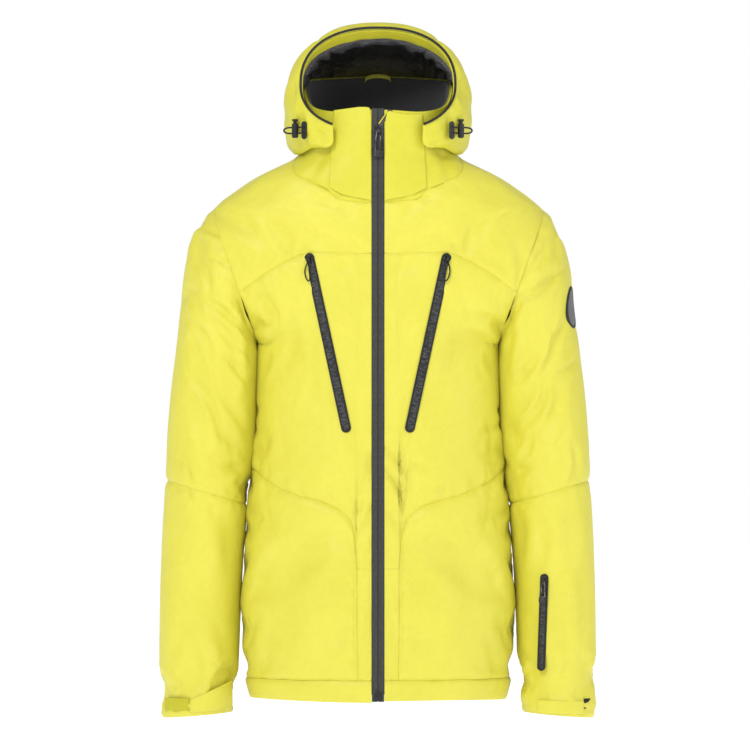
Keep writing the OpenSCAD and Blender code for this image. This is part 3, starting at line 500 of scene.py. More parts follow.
def metal_look():
    """Nearly black lacquered metal with brushed wear."""
    look = Look("slider_metal", (0.10, 0.10, 0.105), 0.34, Metallic=0.85)
    wear = look.noise(0.0016, 4.0, 0.65, 0.3, along="solid", stretch=(1.0, 1.0, 0.25))
    look.colours(wear, (0.35, (0.018, 0.018, 0.019)), (0.75, (0.10, 0.10, 0.105)))
    look.roughness(wear, 0.26, 0.46)
    look.bump(wear, 0.00006, 0.5)
    return look.mat


def steel_look():
    look = Look("spring_steel", (0.5, 0.5, 0.51), 0.3, Metallic=1.0)
    wear = look.noise(0.001, 3.0, along="solid")
    look.colours(wear, (0.3, (0.42, 0.42, 0.43)), (0.7, (0.56, 0.56, 0.57)))
    look.roughness(wear, 0.25, 0.4)
    return look.mat


def rubber_look(name, colour, pale):
    """Soft moulded badge rubber."""
    look = Look(name, colour, 0.55, Specular_IOR_Level=0.4)
    dust = look.noise(0.004, 3.0, 0.6, along="solid")
    look.colours(dust, (0.3, colour), (0.72, pale))
    look.roughness(dust, 0.45, 0.66)
    look.bump(look.noise(0.0008, 2.0, along="solid"), 0.0001, 0.5)
    return look.mat


def hook_look(name, colour):
    """Hook tape: a nap of tiny hooks in rows."""
    look = Look(name, colour, 0.8, Specular_IOR_Level=0.2)
    nap = look.math("MULTIPLY", look.bands(0.0015), look.bands(0.0015, math.pi / 2))
    dark = tuple(0.7 * c for c in colour)
    look.colours(nap, (0.1, dark), (0.8, colour))
    look.bump(nap, 0.0006, 0.9)
    return look.mat


def thread_look(name, colour):
    look = Look(name, colour, 0.6, Specular_IOR_Level=0.3)
    twist = look.bands(0.0007, 0.8, along="solid")
    look.colours(twist, (0.2, tuple(0.75 * c for c in colour)), (0.8, colour))
    look.bump(twist, 0.00008, 0.6)
    return look.mat


SHELL = shell_look("shell_twill", (0.65, 0.605, 0.052), (0.71, 0.66, 0.070))
# A darker copy of the shell twill for the collar, hood and tabs: painted shade on the same yellow cloth.
PAINTED_SHADE_TWILL = shell_look("darker_twill_painted_shade", (0.60, 0.565, 0.030), (0.66, 0.62, 0.042))
# A darker, olive copy of the shell twill for the facing inside the brim: painted shade on the same yellow
# cloth.
PAINTED_SHADE_FACING = shell_look("olive_twill_painted_shade", (0.56, 0.53, 0.020), (0.64, 0.60, 0.028), 0.6)
LINING = lining_look()
FLEECE = fleece_look()
TAPE = tape_look()
RELIEF = relief_look()
TRIM = trim_look()
CORD = cord_look()
PLASTIC = plastic_look()
METAL = metal_look()
STEEL = steel_look()
RUBBER = rubber_look("badge_rim", (0.012, 0.012, 0.013), (0.022, 0.022, 0.023))
BADGE_GREY = rubber_look("badge_face", (0.10, 0.10, 0.105), (0.17, 0.17, 0.175))
HOOKS = hook_look("hook_tape", (0.74, 0.70, 0.05))
HOOKS_DARK = hook_look("hook_tape_dark", (0.03, 0.03, 0.031))
CORD_BLACK = trim_look()
THREAD = thread_look("thread_yellow", (0.72, 0.69, 0.045))
THREAD_EDGE = thread_look("thread_olive", (0.42, 0.42, 0.03))


# ---- meshes ----


def mesh_object(name, points, faces, look, uv=None, rounded=True):
    """An object of points in mm, with uv in mm for each point; rounded faces are shaded smooth."""
    mesh = bpy.data.meshes.new(name)
    points = np.asarray(points, float).reshape(-1, 3)
    mesh.from_pydata((points * MM).tolist(), [], [tuple(int(i) for i in f) for f in faces])
    if uv is None:
        uv = points[:, [0, 2]] + points[:, [1]] * 0.7
    layer = mesh.uv_layers.new(name="cloth")
    corners = np.empty(len(mesh.loops), np.int32)
    mesh.loops.foreach_get("vertex_index", corners)
    layer.data.foreach_set("uv", (np.asarray(uv, float).reshape(-1, 2)[corners] * MM).ravel())
    mesh.materials.append(look)
    mesh.polygons.foreach_set("use_smooth", np.array(np.broadcast_to(rounded, len(mesh.polygons))))
    mesh.update()
    obj = bpy.data.objects.new(name, mesh)
    scene.collection.objects.link(obj)
    return obj


def square_faces(rows, cols, flip=False, wrap=False, start=0):
    """Faces of a grid stored row by row."""
    r = np.arange(rows - 1)[:, None]
    c = np.arange(cols if wrap else cols - 1)[None, :]
    n = (c + 1) % cols
    a, b = r * cols + c, r * cols + n
    d, e = a + cols, b + cols
    quads = np.stack([a, b, e, d], -1).reshape(-1, 4) + start
    return quads[:, ::-1] if flip else quads


def rim_faces(rows, cols, flip=False, wrap=False):
    """Faces that close a grid onto a second one stored after it."""
    count = rows * cols
    loop = [list(range(cols)), [(rows - 1) * cols + c for c in range(cols)][::-1]]
    if wrap:
        loop = [part + part[:1] for part in loop]
    else:
        loop += [[r * cols + cols - 1 for r in range(rows)], [r * cols for r in range(rows)][::-1]]
    faces = [(b, a, a + count, b + count) for part in loop for a, b in zip(part, part[1:])]
    return [f[::-1] for f in faces] if flip else faces


def slab(name, outer, inner, look, uv, flip=False, wrap=False):
    """A closed piece of cloth between two grids of points, with a flat rim."""
    rows, cols = outer.shape[:2]
    front = square_faces(rows, cols, flip, wrap)
    back = square_faces(rows, cols, not flip, wrap, rows * cols)
    rim = rim_faces(rows, cols, flip, wrap)
    rounded = np.ones(len(front) + len(rim) + len(back), bool)
    rounded[len(front):-len(back)] = False
    points = np.concatenate([outer.reshape(-1, 3), inner.reshape(-1, 3)])
    uv = np.concatenate([uv.reshape(-1, 2)] * 2)
    return mesh_object(name, points, [*front, *rim, *back], look, uv, rounded)


def lengths_uv(grid):
    """Distances along the rows and columns of a grid in mm, for the weave."""
    across = np.zeros(grid.shape[:2])
    up = np.zeros(grid.shape[:2])
    across[:, 1:] = np.cumsum(np.linalg.norm(np.diff(grid, axis=1), axis=-1), axis=1)
    up[1:] = np.cumsum(np.linalg.norm(np.diff(grid, axis=0), axis=-1), axis=0)
    middle = across[:, [across.shape[1] // 2]]
    return np.stack([across - middle, up], -1)


def spots(length, step, edges=True):
    """Shares from 0 to 1 about step mm apart, closer near both ends."""
    near = [0.0, 0.9, 2.0, 3.4, 5.2] if edges else [0.0]
    last = near[-1]
    count = max(2, round((length - 2 * last) / step))
    middle = np.linspace(last, length - last, count + 1)
    far = [length - a for a in near[::-1]]
    return np.array(near[:-1] + list(middle) + far[1:]) / length


def facing_out(points, normals, middle):
    """Normals turned away from a middle line."""
    away = np.sum((points - middle) * normals, -1, keepdims=True)
    return normals * np.where(away < 0, -1, 1)


def running(points):
    """Length along a line of points, at each of them."""
    return np.concatenate([[0], np.cumsum(np.linalg.norm(np.diff(points, axis=0), axis=1))])


def box_mm(node):
    """Low and high corner of a CAD node's box, in mm."""
    return [np.array(corner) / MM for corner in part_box(node)]


def node_points(node):
    return np.array([list(p.co) for p in frame["nodes"][node].data.vertices]) / MM


def unit(v):
    return v / np.maximum(np.linalg.norm(v, axis=-1, keepdims=True), 1e-9)


def surface(point, a, b, a_range, da=0.002, db=0.5):
    """Points and outward normals of point(a, b), measured inside the range of a."""
    a, b = np.broadcast_arrays(np.asarray(a, float), np.asarray(b, float))
    p = point(a, b)
    low, high = np.maximum(a - da, a_range[0]), np.minimum(a + da, a_range[1])
    across = point(high, b) - point(low, b)
    up = point(a, b + db) - point(a, b - db)
    return p, unit(np.cross(across, up))


def body_surface(way, z):
    """Points and outward normals of the body, in front and behind."""
    way, z = np.broadcast_arrays(np.asarray(way, float), np.asarray(z, float))
    turn = half_way(way)
    front = surface(body_point, np.minimum(turn, 1), z, (0, 0.9995))
    behind = surface(body_point, np.maximum(turn, 1.0001), z, (1.0001, 2))
    back = (turn > 1)[..., None]
    p = np.where(back, behind[0], front[0])
    n = np.where(back, behind[1], front[1])
    n = facing_out(p, n, np.stack([0 * z, 0 * z + AXIS_Y, z], -1))
    flip = np.where(way > 2, -1, 1)[..., None] * [1, 0, 0] + [0, 1, 1] * np.ones_like(p)
    return p * flip, n * flip


def sleeve_surface(station, angle, side=1):
    """Points and outward normals of a sleeve."""
    station, angle = np.broadcast_arrays(np.asarray(station, float), np.asarray(angle, float))
    p, n = surface(lambda s, a: sleeve_point(s, a), station, angle, (0, CUFF_STATION), 0.02, 1.0)
    middle = (sleeve_point(station, 0 * angle) + sleeve_point(station, 0 * angle + 180)) / 2
    n = facing_out(p, n, middle)
    return p * [side, 1, 1], n * [side, 1, 1]


def hood_surface(t, angle):
    """Points and outward normals of the hood."""
    t, angle = np.broadcast_arrays(np.asarray(t, float), np.asarray(angle, float))
    p, n = surface(lambda s, a: hood_point(s, a), t, angle, (0, HOOD_LAST), 0.006, 1.0)
    middle = np.stack([0 * t, smooth(HOOD, t, 3), smooth(HOOD, t, 4)], -1)
    return p, facing_out(p, n, middle)


# ---- seams, folds and puff of the padded cloth ----


def seam_line(points, pucker=0.0, draw=1.0):
    """A seam as points in mm with its running length, how much it puckers and how deep it lies."""
    points = np.asarray(points, float)
    run = running(points)
    steps = np.arange(0, run[-1], 2.0)
    dense = np.stack([np.interp(steps, run, points[:, k]) for k in range(3)], -1)
    return dense, steps, np.full(len(steps), pucker), np.full(len(steps), draw)


def both_sides(points):
    return [points, points * [-1, 1, 1]]


def body_seams():
    """Seams that draw in the body's cloth: both fronts, the back and the hem."""
    ways = np.linspace(0, 2, 300)
    low_ways = np.linspace(PANEL_STEP, 1, 160)
    below = np.linspace(HEM_TOP, -ARMPIT_DROP, 200)
    above = np.linspace(-SHOULDER_DROP, smooth(NECK_SEAM, 1.0), 60)
    arm = np.linspace(-ARMPIT_DROP + 1, -SHOULDER_DROP - 1, 120)
    lines = []
    for points, pucker, draw in [
            (body_point(ways, smooth(YOKE_SEAM, ways)), 0.2, 0.8),
            (body_point(low_ways, smooth(POCKET_SEAM, low_ways)), 0.45, 1),
            (body_point(PANEL_STEP, np.linspace(HEM_TOP, POCKET_SEAM[0][1], 80)), 0.15, 0.6),
            (body_point(0.9999, below), 0.3, 1), (body_point(0.9999, above), 0.1, 0.6),
            (body_point(ways, 0 * ways + HEM_TOP), 0.8, 1.1),
            (body_point(ways, smooth(NECK_SEAM, ways)), 0.3, 0.9),
            (body_point(0.9999, arm), 0.3, 0.3), (body_point(1.0001, arm), 0.3, 0.3)]:
        lines += [seam_line(half, pucker, draw) for half in both_sides(points)]
    return lines


def sleeve_seams(side):
    """Seams round a sleeve and the one along its inside."""
    around = np.linspace(0, 360, 240)
    along = np.linspace(0, CUFF_STATION, 300)
    lines = [seam_line(sleeve_point(0.0, around, 0, side), 0.5, 0.3)]
    for station in (ELBOW_STATION, CUFF_STATION, CUFF_SEAM):
        lines.append(seam_line(sleeve_point(station, around, 0, side), 0.4))
    lines.append(seam_line(sleeve_point(along, UNDERARM + 0 * along, 0, side), 0.2))
    return lines


HOOD_SEAM = 40          # angle from the top at which the crown's seams lie


def hood_seams():
    """Two seams over the crown, the hood's ends and the edge of its opening."""
    t = np.linspace(0, 1, 160)
    ends = np.stack([t, hood_end(t)], -1)
    lines = [seam_line(hood_point(t, 0 * t + a), 0.15) for a in (-HOOD_SEAM, HOOD_SEAM)]
    lines += [seam_line(hood_point(ends[:, 0], s * ends[:, 1]), 0.3) for s in (-1, 1)]
    lines += [seam_line(hood_point(0.0, np.linspace(-148, 148, 200)), 0.25)]
    return lines


class Seams:
    """Finds how the nearest seam draws in the cloth at each point."""

    def __init__(self, lines):
        self.points = np.concatenate([line[0] for line in lines])
        self.run = np.concatenate([line[1] for line in lines])
        self.pucker = np.concatenate([line[2] for line in lines])
        self.draw = np.concatenate([line[3] for line in lines])
        self.tree = KDTree(len(self.points))
        for i, point in enumerate(self.points):
            self.tree.insert(point, i)
        self.tree.balance()

    def offset(self, points, depth=1.25, width=2.3):
        """How far the cloth stands out at each point: down in the seam, up and puckered beside it."""
        flat = points.reshape(-1, 3)
        found = [self.tree.find(p) for p in flat]
        index = np.array([f[1] for f in found])
        away = np.array([f[2] for f in found])
        run, pucker = self.run[index], self.pucker[index]
        wave = np.sin(run / 3.1 + 2.2 * np.sin(run / 23.0)) * (0.6 + 0.4 * np.sin(run / 41.0 + 1.3))
        pinch = -depth * self.draw[index] * np.exp(-(away / width) ** 2)
        pinch += 0.45 * np.exp(-((away - 7) / 5) ** 2)
        pinch += pucker * wave * np.exp(-((away - 4) / 7) ** 2)
        return pinch.reshape(points.shape[:-1])


# Drag folds seen from the front: x and z of the two ends, width, depth (a valley is positive)
FOLDS = [
    # right yoke and chest, at the left of the picture
    [-222, -202, -160, -239, 11, 1.3], [-104, -207, -84, -243, 3.2, 0.6], [-126, -252, -114, -270, 3, 0.5],
    [-106, -258, -97, -246, 3, 0.8], [-171, -312, -143, -332, 10, 2.0], [-150, -330, -141, -350, 6, 1.6],
    [-165, -350, -144, -362, 7, 1.0], [-120, -352, -132, -420, 9, 0.7], [-92, -372, -98, -470, 8, 0.4],
    # left yoke and chest
    [26, -176, 87, -160, 6, 0.9], [47, -193, 101, -165, 8, 0.9], [127, -212, 117, -260, 5, 0.7],
    [103, -244, 108, -253, 3, 0.8], [193, -250, 195, -309, 7, 1.2], [138, -345, 176, -364, 9, 1.6],
    [150, -262, 182, -282, 7, 0.5],
    # collar seam
    [-30, -176, -84, -158, 7, 0.9], [-52, -190, -104, -164, 8, 0.7],
    # waist and lower front
    [147, -500, 163, -492, 8, 1.3], [152, -492, 157, -520, 6, 1.0], [146, -530, 160, -552, 9, 0.8],
    [13, -526, 45, -578, 4.5, 1.5], [13, -558, 37, -611, 3.2, 1.7], [13, -610, 27, -642, 4, 1.0],
    [38, -543, 73, -557, 6, 0.6], [80, -578, 93, -585, 3, 0.8], [148, -556, 148, -574, 3, 0.6],
    [-12, -535, -21, -577, 5, 1.0], [-50, -550, -46, -568, 4, 0.7], [-24, -601, -31, -614, 4, 0.9],
    [-11, -608, -24, -637, 3.6, 1.1], [-11, -656, -17, -668, 4, 0.7], [-12, -684, -20, -700, 5, 0.6],
    [-71, -590, -62, -600, 3, 0.8], [-108, -582, -98, -592, 3, 0.8], [-150, -552, -151, -565, 3, 0.7],
    [-163, -540, -166, -556, 3, 0.7], [-158, -505, -160, -545, 10, 0.8], [-128, -500, -136, -545, 10, 0.5],
    [20, -700, 24, -760, 6, 0.5], [13, -742, 24, -800, 5, 0.6], [-13, -742, -22, -800, 5, 0.5],
    [110, -640, 122, -760, 22, 0.9], [-120, -650, -128, -770, 22, 0.9], [60, -720, 66, -820, 18, 0.6],
    [150, -790, 158, -840, 8, 0.6], [-150, -786, -160, -840, 8, 0.6], [-70, -760, -76, -838, 14, 0.5],
]
BACK_FOLDS = [
    [-150, -330, -96, -402, 11, 1.6], [150, -336, 90, -410, 12, 1.7], [-158, -380, -120, -470, 9, 1.1],
    [158, -384, 126, -468, 10, 1.1], [-40, -300, -20, -520, 26, 1.0], [50, -330, 30, -560, 28, 0.9],
    [-150, -520, -60, -560, 12, 1.1], [152, -534, 70, -590, 12, 1.2], [-120, -590, -20, -640, 18, 0.9],
    [110, -640, 20, -690, 18, 0.9], [-110, -700, -100, -830, 18, 0.9], [100, -720, 92, -836, 16, 0.8],
    [0, -680, 6, -830, 22, 0.8], [-60, -170, -20, -230, 12, 0.7], [70, -172, 30, -236, 12, 0.7],
    [-190, -206, -140, -240, 10, 0.9], [190, -208, 142, -244, 10, 0.9],
]
SLEEVE_FOLDS_RIGHT = [
    [-238, -223, -214, -233, 4.5, 1.2], [-224, -262, -197, -282, 5, 1.3], [-252, -266, -234, -302, 6, 1.4],
    [-256, -322, -246, -338, 5, 1.3], [-240, -321, -190, -358, 6, 1.7], [-259, -349, -233, -393, 5, 1.8],
    [-231, -352, -199, -382, 7, 1.2], [-252, -434, -215, -506, 6, 1.7], [-218, -500, -194, -530, 7, 1.2],
    [-268, -546, -259, -566, 4, 1.3], [-204, -400, -184, -430, 7, 1.2], [-262, -470, -240, -520, 9, 0.8],
    [-205, -552, -190, -557, 7, 1.4], [-202, -470, -186, -500, 6, 1.0], [-268, -582, -258, -592, 4, 0.8],
    [-215, -620, -206, -690, 12, 1.0], [-262, -660, -254, -760, 16, 0.9], [-232, -600, -228, -616, 5, 0.6],
    [-282, -700, -276, -800, 10, 0.7], [-222, -770, -216, -840, 10, 0.8], [-246, -800, -240, -846, 9, 0.6],
]
SLEEVE_FOLDS_LEFT = [
    [258, -276, 198, -318, 5, 1.7], [263, -327, 247, -373, 5, 1.8], [247, -373, 228, -419, 6, 1.8],
    [276, -397, 255, -420, 5, 1.3], [214, -404, 188, -430, 7, 1.3], [231, -448, 205, -489, 6, 1.5],
    [250, -452, 238, -489, 7, 1.2], [256, -506, 238, -530, 6, 1.2], [272, -527, 270, -563, 5, 1.1],
    [186, -559, 216, -553, 7, 1.5], [196, -621, 190, -680, 10, 1.8], [236, -240, 215, -282, 7, 1.3],
    [262, -600, 258, -690, 14, 0.8], [226, -636, 222, -690, 10, 0.8], [282, -700, 276, -810, 12, 0.8],
    [214, -760, 208, -840, 10, 1.0], [250, -742, 258, -836, 10, 0.7], [210, -512, 200, -540, 5, 0.8],
]
# Soft valley beside the armhole seam, the same on both sleeves
ARMHOLE_VALLEY = [
    [228, -216, 221, -240, 9, 0.8], [222, -240, 209, -280, 9, 1.4], [209, -280, 192, -320, 9, 1.4],
    [192, -320, 181, -345, 9, 1.5], [181, -345, 177, -400, 8, 1.4], [177, -400, 174, -440, 8, 1.1],
]
SLEEVE_BACK_FOLDS = [
    [250, -240, 200, -300, 8, 1.6], [262, -330, 206, -392, 8, 1.8], [266, -420, 214, -470, 9, 1.7],
    [262, -500, 206, -536, 8, 1.7], [270, -548, 220, -566, 7, 1.6], [262, -596, 216, -612, 8, 1.3],
    [276, -650, 262, -740, 14, 1.0], [232, -680, 222, -790, 12, 1.1], [272, -780, 262, -850, 10, 0.8],
]


FOLD_GAIN = 3.3         # one gain for the depth of every drag fold


def fold_offset(points, folds):
    """Valleys with raised sides along straight strokes in x and z."""
    x, z = points[..., 0], points[..., 2]
    total = np.zeros(x.shape)
    for x0, z0, x1, z1, width, depth in folds:
        dx, dz = x1 - x0, z1 - z0
        length = math.hypot(dx, dz)
        along = ((x - x0) * dx + (z - z0) * dz) / length
        bow = 0.07 * length * (1 - (2 * along / length - 1) ** 2)
        across = ((x - x0) * dz - (z - z0) * dx) / length + bow
        past = np.maximum(np.maximum(-along, along - length), 0) / (width * 1.6)
        taper = np.exp(-past**2) * (0.55 + 0.45 * np.sin(np.clip(along / length, 0, 1) * np.pi))
        r = across / width
        raised = 0.55 * np.exp(-((r - 1.55) / 0.9) ** 2) + 0.35 * np.exp(-((r + 1.6) / 1.0) ** 2)
        total -= FOLD_GAIN * depth * taper * (np.exp(-r**2) - raised)
    return total


def bar_frame(node):
    """Middle, direction along, across and out, and half sizes of a long flat CAD bar, in mm."""
    v = np.unique(node_points(node).round(2), axis=0)
    middle = (v.max(0) + v.min(0)) / 2
    axes = np.linalg.svd(v - v.mean(0), full_matrices=False)[2]
    along = axes[0] * -np.sign(axes[0][2])
    out = axes[2] * -np.sign(axes[2][1])
    across = np.cross(out, along)
    across *= np.sign(across[0])
    basis = np.stack([along, across, out])
    reach = (v - middle) @ basis.T
    centre = middle + basis.T @ ((reach.max(0) + reach.min(0)) / 2)
    return centre, along, across, out, (reach.max(0) - reach.min(0)) / 2


CHEST_FRONT = -120          # y in front of which a point is on the chest
ZIP_LIFT = (-3, 8)          # the least and the most that the cloth moves to meet a chest zip


def zip_lift(points):
    """How far the cloth rises to lie under the straight chest zips."""
    total = np.zeros(points.shape[:-1])
    for centre, along, across, out, half in CHEST_ZIPS:
        d = points - centre
        gap = half[2] - 1.6 - d @ out
        aside = np.abs(d @ across) - half[1]
        past = np.maximum(np.abs(d @ along) - half[0], 0)
        near = np.exp(-(np.maximum(aside, 0) / 20) ** 2 - (past / 16) ** 2)
        total += np.clip(gap, *ZIP_LIFT) * near * (points[..., 1] < CHEST_FRONT)
    return total


def relax(name, grids, growth, pressure, cap, frames=22):
    """Runs all the panels as cloth held along their edges, and gives how far each point moved outward.

    grids holds (points, normals, wrap) in mm; a wrapped grid is a tube whose columns join up.
    The cloth grows by the share growth, pressure pushes it out, and no point moves beyond cap mm.
    """
    chance = np.random.default_rng(7)
    verts, faces, pins, normals_all, count = [], [], [], [], 0
    for points, normals, wrap in grids:
        rows, cols = points.shape[:2]
        held = np.zeros((rows, cols), bool)
        held[[0, -1]] = True
        if not wrap:
            held[:, [0, -1]] = True
        rough = chance.normal(0, 0.25, (rows, cols))
        rough[held] = 0
        verts.append((points + normals * rough[..., None]).reshape(-1, 3))
        normals_all.append(normals.reshape(-1, 3))
        faces += square_faces(rows, cols, wrap=wrap, start=count).tolist()
        pins.append(np.flatnonzero(held.ravel()) + count)
        count += rows * cols
    base = np.concatenate(verts)
    mesh = bpy.data.meshes.new(name)
    mesh.from_pydata((base * MM).tolist(), [], faces)
    obj = bpy.data.objects.new(name, mesh)
    scene.collection.objects.link(obj)
    group = obj.vertex_groups.new(name="held")
    group.add(np.concatenate(pins).tolist(), 1.0, "REPLACE")
    cloth = obj.modifiers.new("cloth", "CLOTH")
    settings = cloth.settings
    settings.vertex_group_mass = "held"
    settings.quality = 6
    settings.mass = 0.25
    settings.tension_stiffness = settings.compression_stiffness = 18
    settings.shear_stiffness = 6
    settings.bending_stiffness = 1.2
    settings.tension_damping = settings.compression_damping = 12
    settings.air_damping = 3
    settings.shrink_min = -growth
    settings.effector_weights.gravity = 0
    settings.use_pressure = True
    settings.uniform_pressure_force = pressure
    cloth.collision_settings.use_collision = False
    cloth.point_cache.frame_start = 1
    cloth.point_cache.frame_end = frames
    for number in range(1, frames + 1):
        scene.frame_set(number)
    shaped = obj.evaluated_get(bpy.context.evaluated_depsgraph_get()).to_mesh()
    moved = np.empty(count * 3)
    shaped.vertices.foreach_get("co", moved)
    moved = moved.reshape(-1, 3) / MM
    scene.frame_set(1)
    bpy.data.objects.remove(obj)
    offset = np.sum((moved - base) * np.concatenate(normals_all), -1)
    offset = cap * np.tanh(offset / cap)
    out, start = [], 0
    for points, normals, wrap in grids:
        rows, cols = points.shape[:2]
        out.append(offset[start:start + rows * cols].reshape(rows, cols))
        start += rows * cols
    return out


def finer(field, rows, cols, wrap=False):
    """A field on a coarse grid read at shares rows and cols by smooth interpolation."""
    def weights(shares, n, wrap):
        span = n if wrap else n - 1
        at = np.clip(shares, 0, 1) * span
        i = np.minimum(np.floor(at).astype(int), span - 1)
        f = at - i
        w = np.zeros((len(shares), n))
        for k, part in zip((-1, 0, 1, 2), (-0.5 * f + f**2 - 0.5 * f**3, 1 - 2.5 * f**2 + 1.5 * f**3,
                                           0.5 * f + 2 * f**2 - 1.5 * f**3, -0.5 * f**2 + 0.5 * f**3)):
            j = (i + k) % n if wrap else np.clip(i + k, 0, n - 1)
            np.add.at(w, (np.arange(len(shares)), j), part)
        return w
    return weights(rows, field.shape[0], False) @ field @ weights(cols, field.shape[1], wrap).T


CHEST_ZIPS = [bar_frame("chest_zip_" + name) for name in ("left", "right")]


# ---- padded panels of the body ----

PANEL_THICK = 8.0
STRIP_COLS = 13
DEEPEST = -6.6           # the lowest a fold's valley reaches in the padded cloth, in mm
HEM_THICK = 6.5
HEM_QUARTER = 290           # length of a quarter of the hem, in mm


def seam_way(table):
    return lambda way: smooth(table, way)


def above_hem(way):
    return HEM_TOP + 0 * way


def hem_bottom(way):
    return -HEM_DROP + 0 * way


def panel_grid(ways, low, high, rows):
    """Heights and ways of a panel between two seams."""
    way = ways[None, :] + 0 * rows[:, None]
    turn = half_way(way)
    return way, low(turn) + (high(turn) - low(turn)) * rows[:, None]


def pocket_high(way):
    """The pocket seam; over the strip beside the zip it stays level."""
    return smooth(POCKET_SEAM, np.maximum(way, PANEL_STEP))


# name, first and last way, lower and upper seam, rough width and height in mm
BODY_PANELS = {
    "yoke_front": (0, 1, seam_way(YOKE_SEAM), seam_way(NECK_SEAM), 240, 110),
    "chest": (0, 1, pocket_high, seam_way(YOKE_SEAM), 240, 320),
    "lower_front": (PANEL_STEP, 1, above_hem, pocket_high, 225, 250),
    "yoke_back": (1, 3, seam_way(YOKE_SEAM), seam_way(NECK_SEAM), 470, 150),
    "back": (1, 3, above_hem, seam_way(YOKE_SEAM), 470, 560),
}
COARSE = 9.5            # spacing of the grids that are run as cloth, in mm


def sim_grids():
    """Coarse grids of every panel that is run as cloth."""
    grids = {}
    for name, (first, last, low, high, wide, tall) in BODY_PANELS.items():
        cols, rows = round(wide / COARSE), round(tall / COARSE)
        way, z = panel_grid(np.linspace(first, last, cols + 1), low, high, np.linspace(0, 1, rows + 1))
        grids[name] = (*body_surface(way, z), False)
    for side, name in SIDE_NAMES.items():
        around = np.linspace(0, 360, 57)[:-1][None, :]
        upper = np.linspace(ELBOW_STATION, 0.05, 44)[:, None]
        lower = np.linspace(CUFF_STATION - 0.2, ELBOW_STATION, 34)[:, None]
        grids["upper_" + name] = (*sleeve_surface(upper, -around * side, side), True)
        grids["lower_" + name] = (*sleeve_surface(lower, -around * side, side), True)
    t = np.linspace(HOOD_LAST, 0.0, 34)[:, None]
    grids["hood_centre"] = (*hood_surface(t, np.linspace(-HOOD_SEAM, HOOD_SEAM, 17)[None, :]), False)
    for side, name in SIDE_NAMES.items():
        share = np.linspace(0, 1, 17)[None, :]
        angle = HOOD_SEAM + (hood_end(t) - HOOD_SEAM) * share
        grids["hood_" + name] = (*hood_surface(t, side * angle), False)
    return grids


def puff_fields():
    """How far the filling pushes out each panel, from one run of the cloth."""
    grids = sim_grids()
    fields = relax("cloth_run", list(grids.values()), growth=0.036, pressure=0.85, cap=4.2)
    return dict(zip(grids, fields))


WAIST_Z, WAIST_SPREAD = -535.0, 62.0
PUFF = puff_fields()
BODY_SEAMS = Seams(body_seams())


def gentle(share):
    """Rises smoothly from 0 to 1."""
    share = np.clip(share, 0, 1)
    return share * share * (3 - 2 * share)


def waist_bulge(z, away):
    """Body and sleeves fill out towards each other between the armpit and the elbow."""
    return np.exp(-((z - WAIST_Z) / WAIST_SPREAD) ** 2) * np.exp(-away**2)


def body_offset(points, way):
    """Everything that moves the body's cloth off its plain surface, except the puff."""
    turn = half_way(way)
    near_side = np.clip(np.abs(1 - turn) / 0.04, 0, 1)
    front = fold_offset(points, FOLDS) * near_side * (turn <= 1) + zip_lift(points)
    behind = fold_offset(points, BACK_FOLDS) * (turn > 1)
    return front + behind + BODY_SEAMS.offset(points) + 3.6 * waist_bulge(points[..., 2], (turn - 1) / 0.14)


def body_cloth(name, panel, side, nodes, step=4.5):
    """One padded panel of the body; side -1 mirrors a front panel."""
    first, last, low, high, wide, tall = BODY_PANELS[panel]
    ways = first + (last - first) * spots(wide, step)
    if panel == "chest":
        below = BODY_PANELS["lower_front"]
        ways = np.concatenate([PANEL_STEP * np.linspace(0, 1, STRIP_COLS)[:-1],
                               PANEL_STEP + (1 - PANEL_STEP) * spots(below[4], step)])
    rows = spots(tall, step)
    way, z = panel_grid(ways, low, high, rows)
    way = np.where(np.isclose(way, 1) & (last <= 1), 0.9995, way)
    points, normals = body_surface(way, z)
    points, normals = points * [side, 1, 1], normals * [side, 1, 1]
    puff = finer(PUFF[panel], rows, (ways - first) / (last - first))
    calm = np.exp(-np.maximum(zip_lift(points), 0))
    if panel == "chest":
        calm = calm * gentle((way - 0.04) / 0.12)
    if panel.startswith("yoke"):
        calm = calm * gentle(np.minimum(np.abs(way - 1), np.abs(way - 3)) / 0.35)
    lift = np.maximum(body_offset(points, way) + puff * calm, DEEPEST)[..., None]
    inner = points - normals * PANEL_THICK
    obj = slab(name, points + normals * lift, inner, SHELL, lengths_uv(points), side < 0)
    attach(obj, "jacket_body")
    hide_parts(*nodes)


def chest_strip(side, name):
    """Narrow strip beside the zip that runs down from the chest panel to the hem."""
    ways = PANEL_STEP * np.linspace(0, 1, STRIP_COLS)
    rows = spots(155, 4.5)
    way, z = panel_grid(ways, above_hem, pocket_high, rows)
    points, normals = body_surface(way, z)
    points, normals = points * [side, 1, 1], normals * [side, 1, 1]
    lift = body_offset(points, way)[..., None]
    inner = points - normals * PANEL_THICK
    obj = slab(name, points + normals * lift, inner, SHELL, lengths_uv(points), side < 0)
    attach(obj, "jacket_body")


def add_body_panels():
    for side, name in SIDE_NAMES.items():
        body_cloth("yoke_cloth_" + name, "yoke_front", side, ["front_yoke_" + name])
        body_cloth("chest_cloth_" + name, "chest", side, ["chest_panel_" + name])
        chest_strip(side, "zip_strip_" + name)
        body_cloth("lower_cloth_" + name, "lower_front", side, ["lower_front_" + name])
    body_cloth("yoke_cloth_back", "yoke_back", 1, ["back_yoke"], step=6)
    body_cloth("back_cloth", "back", 1, ["back_panel"], step=6)


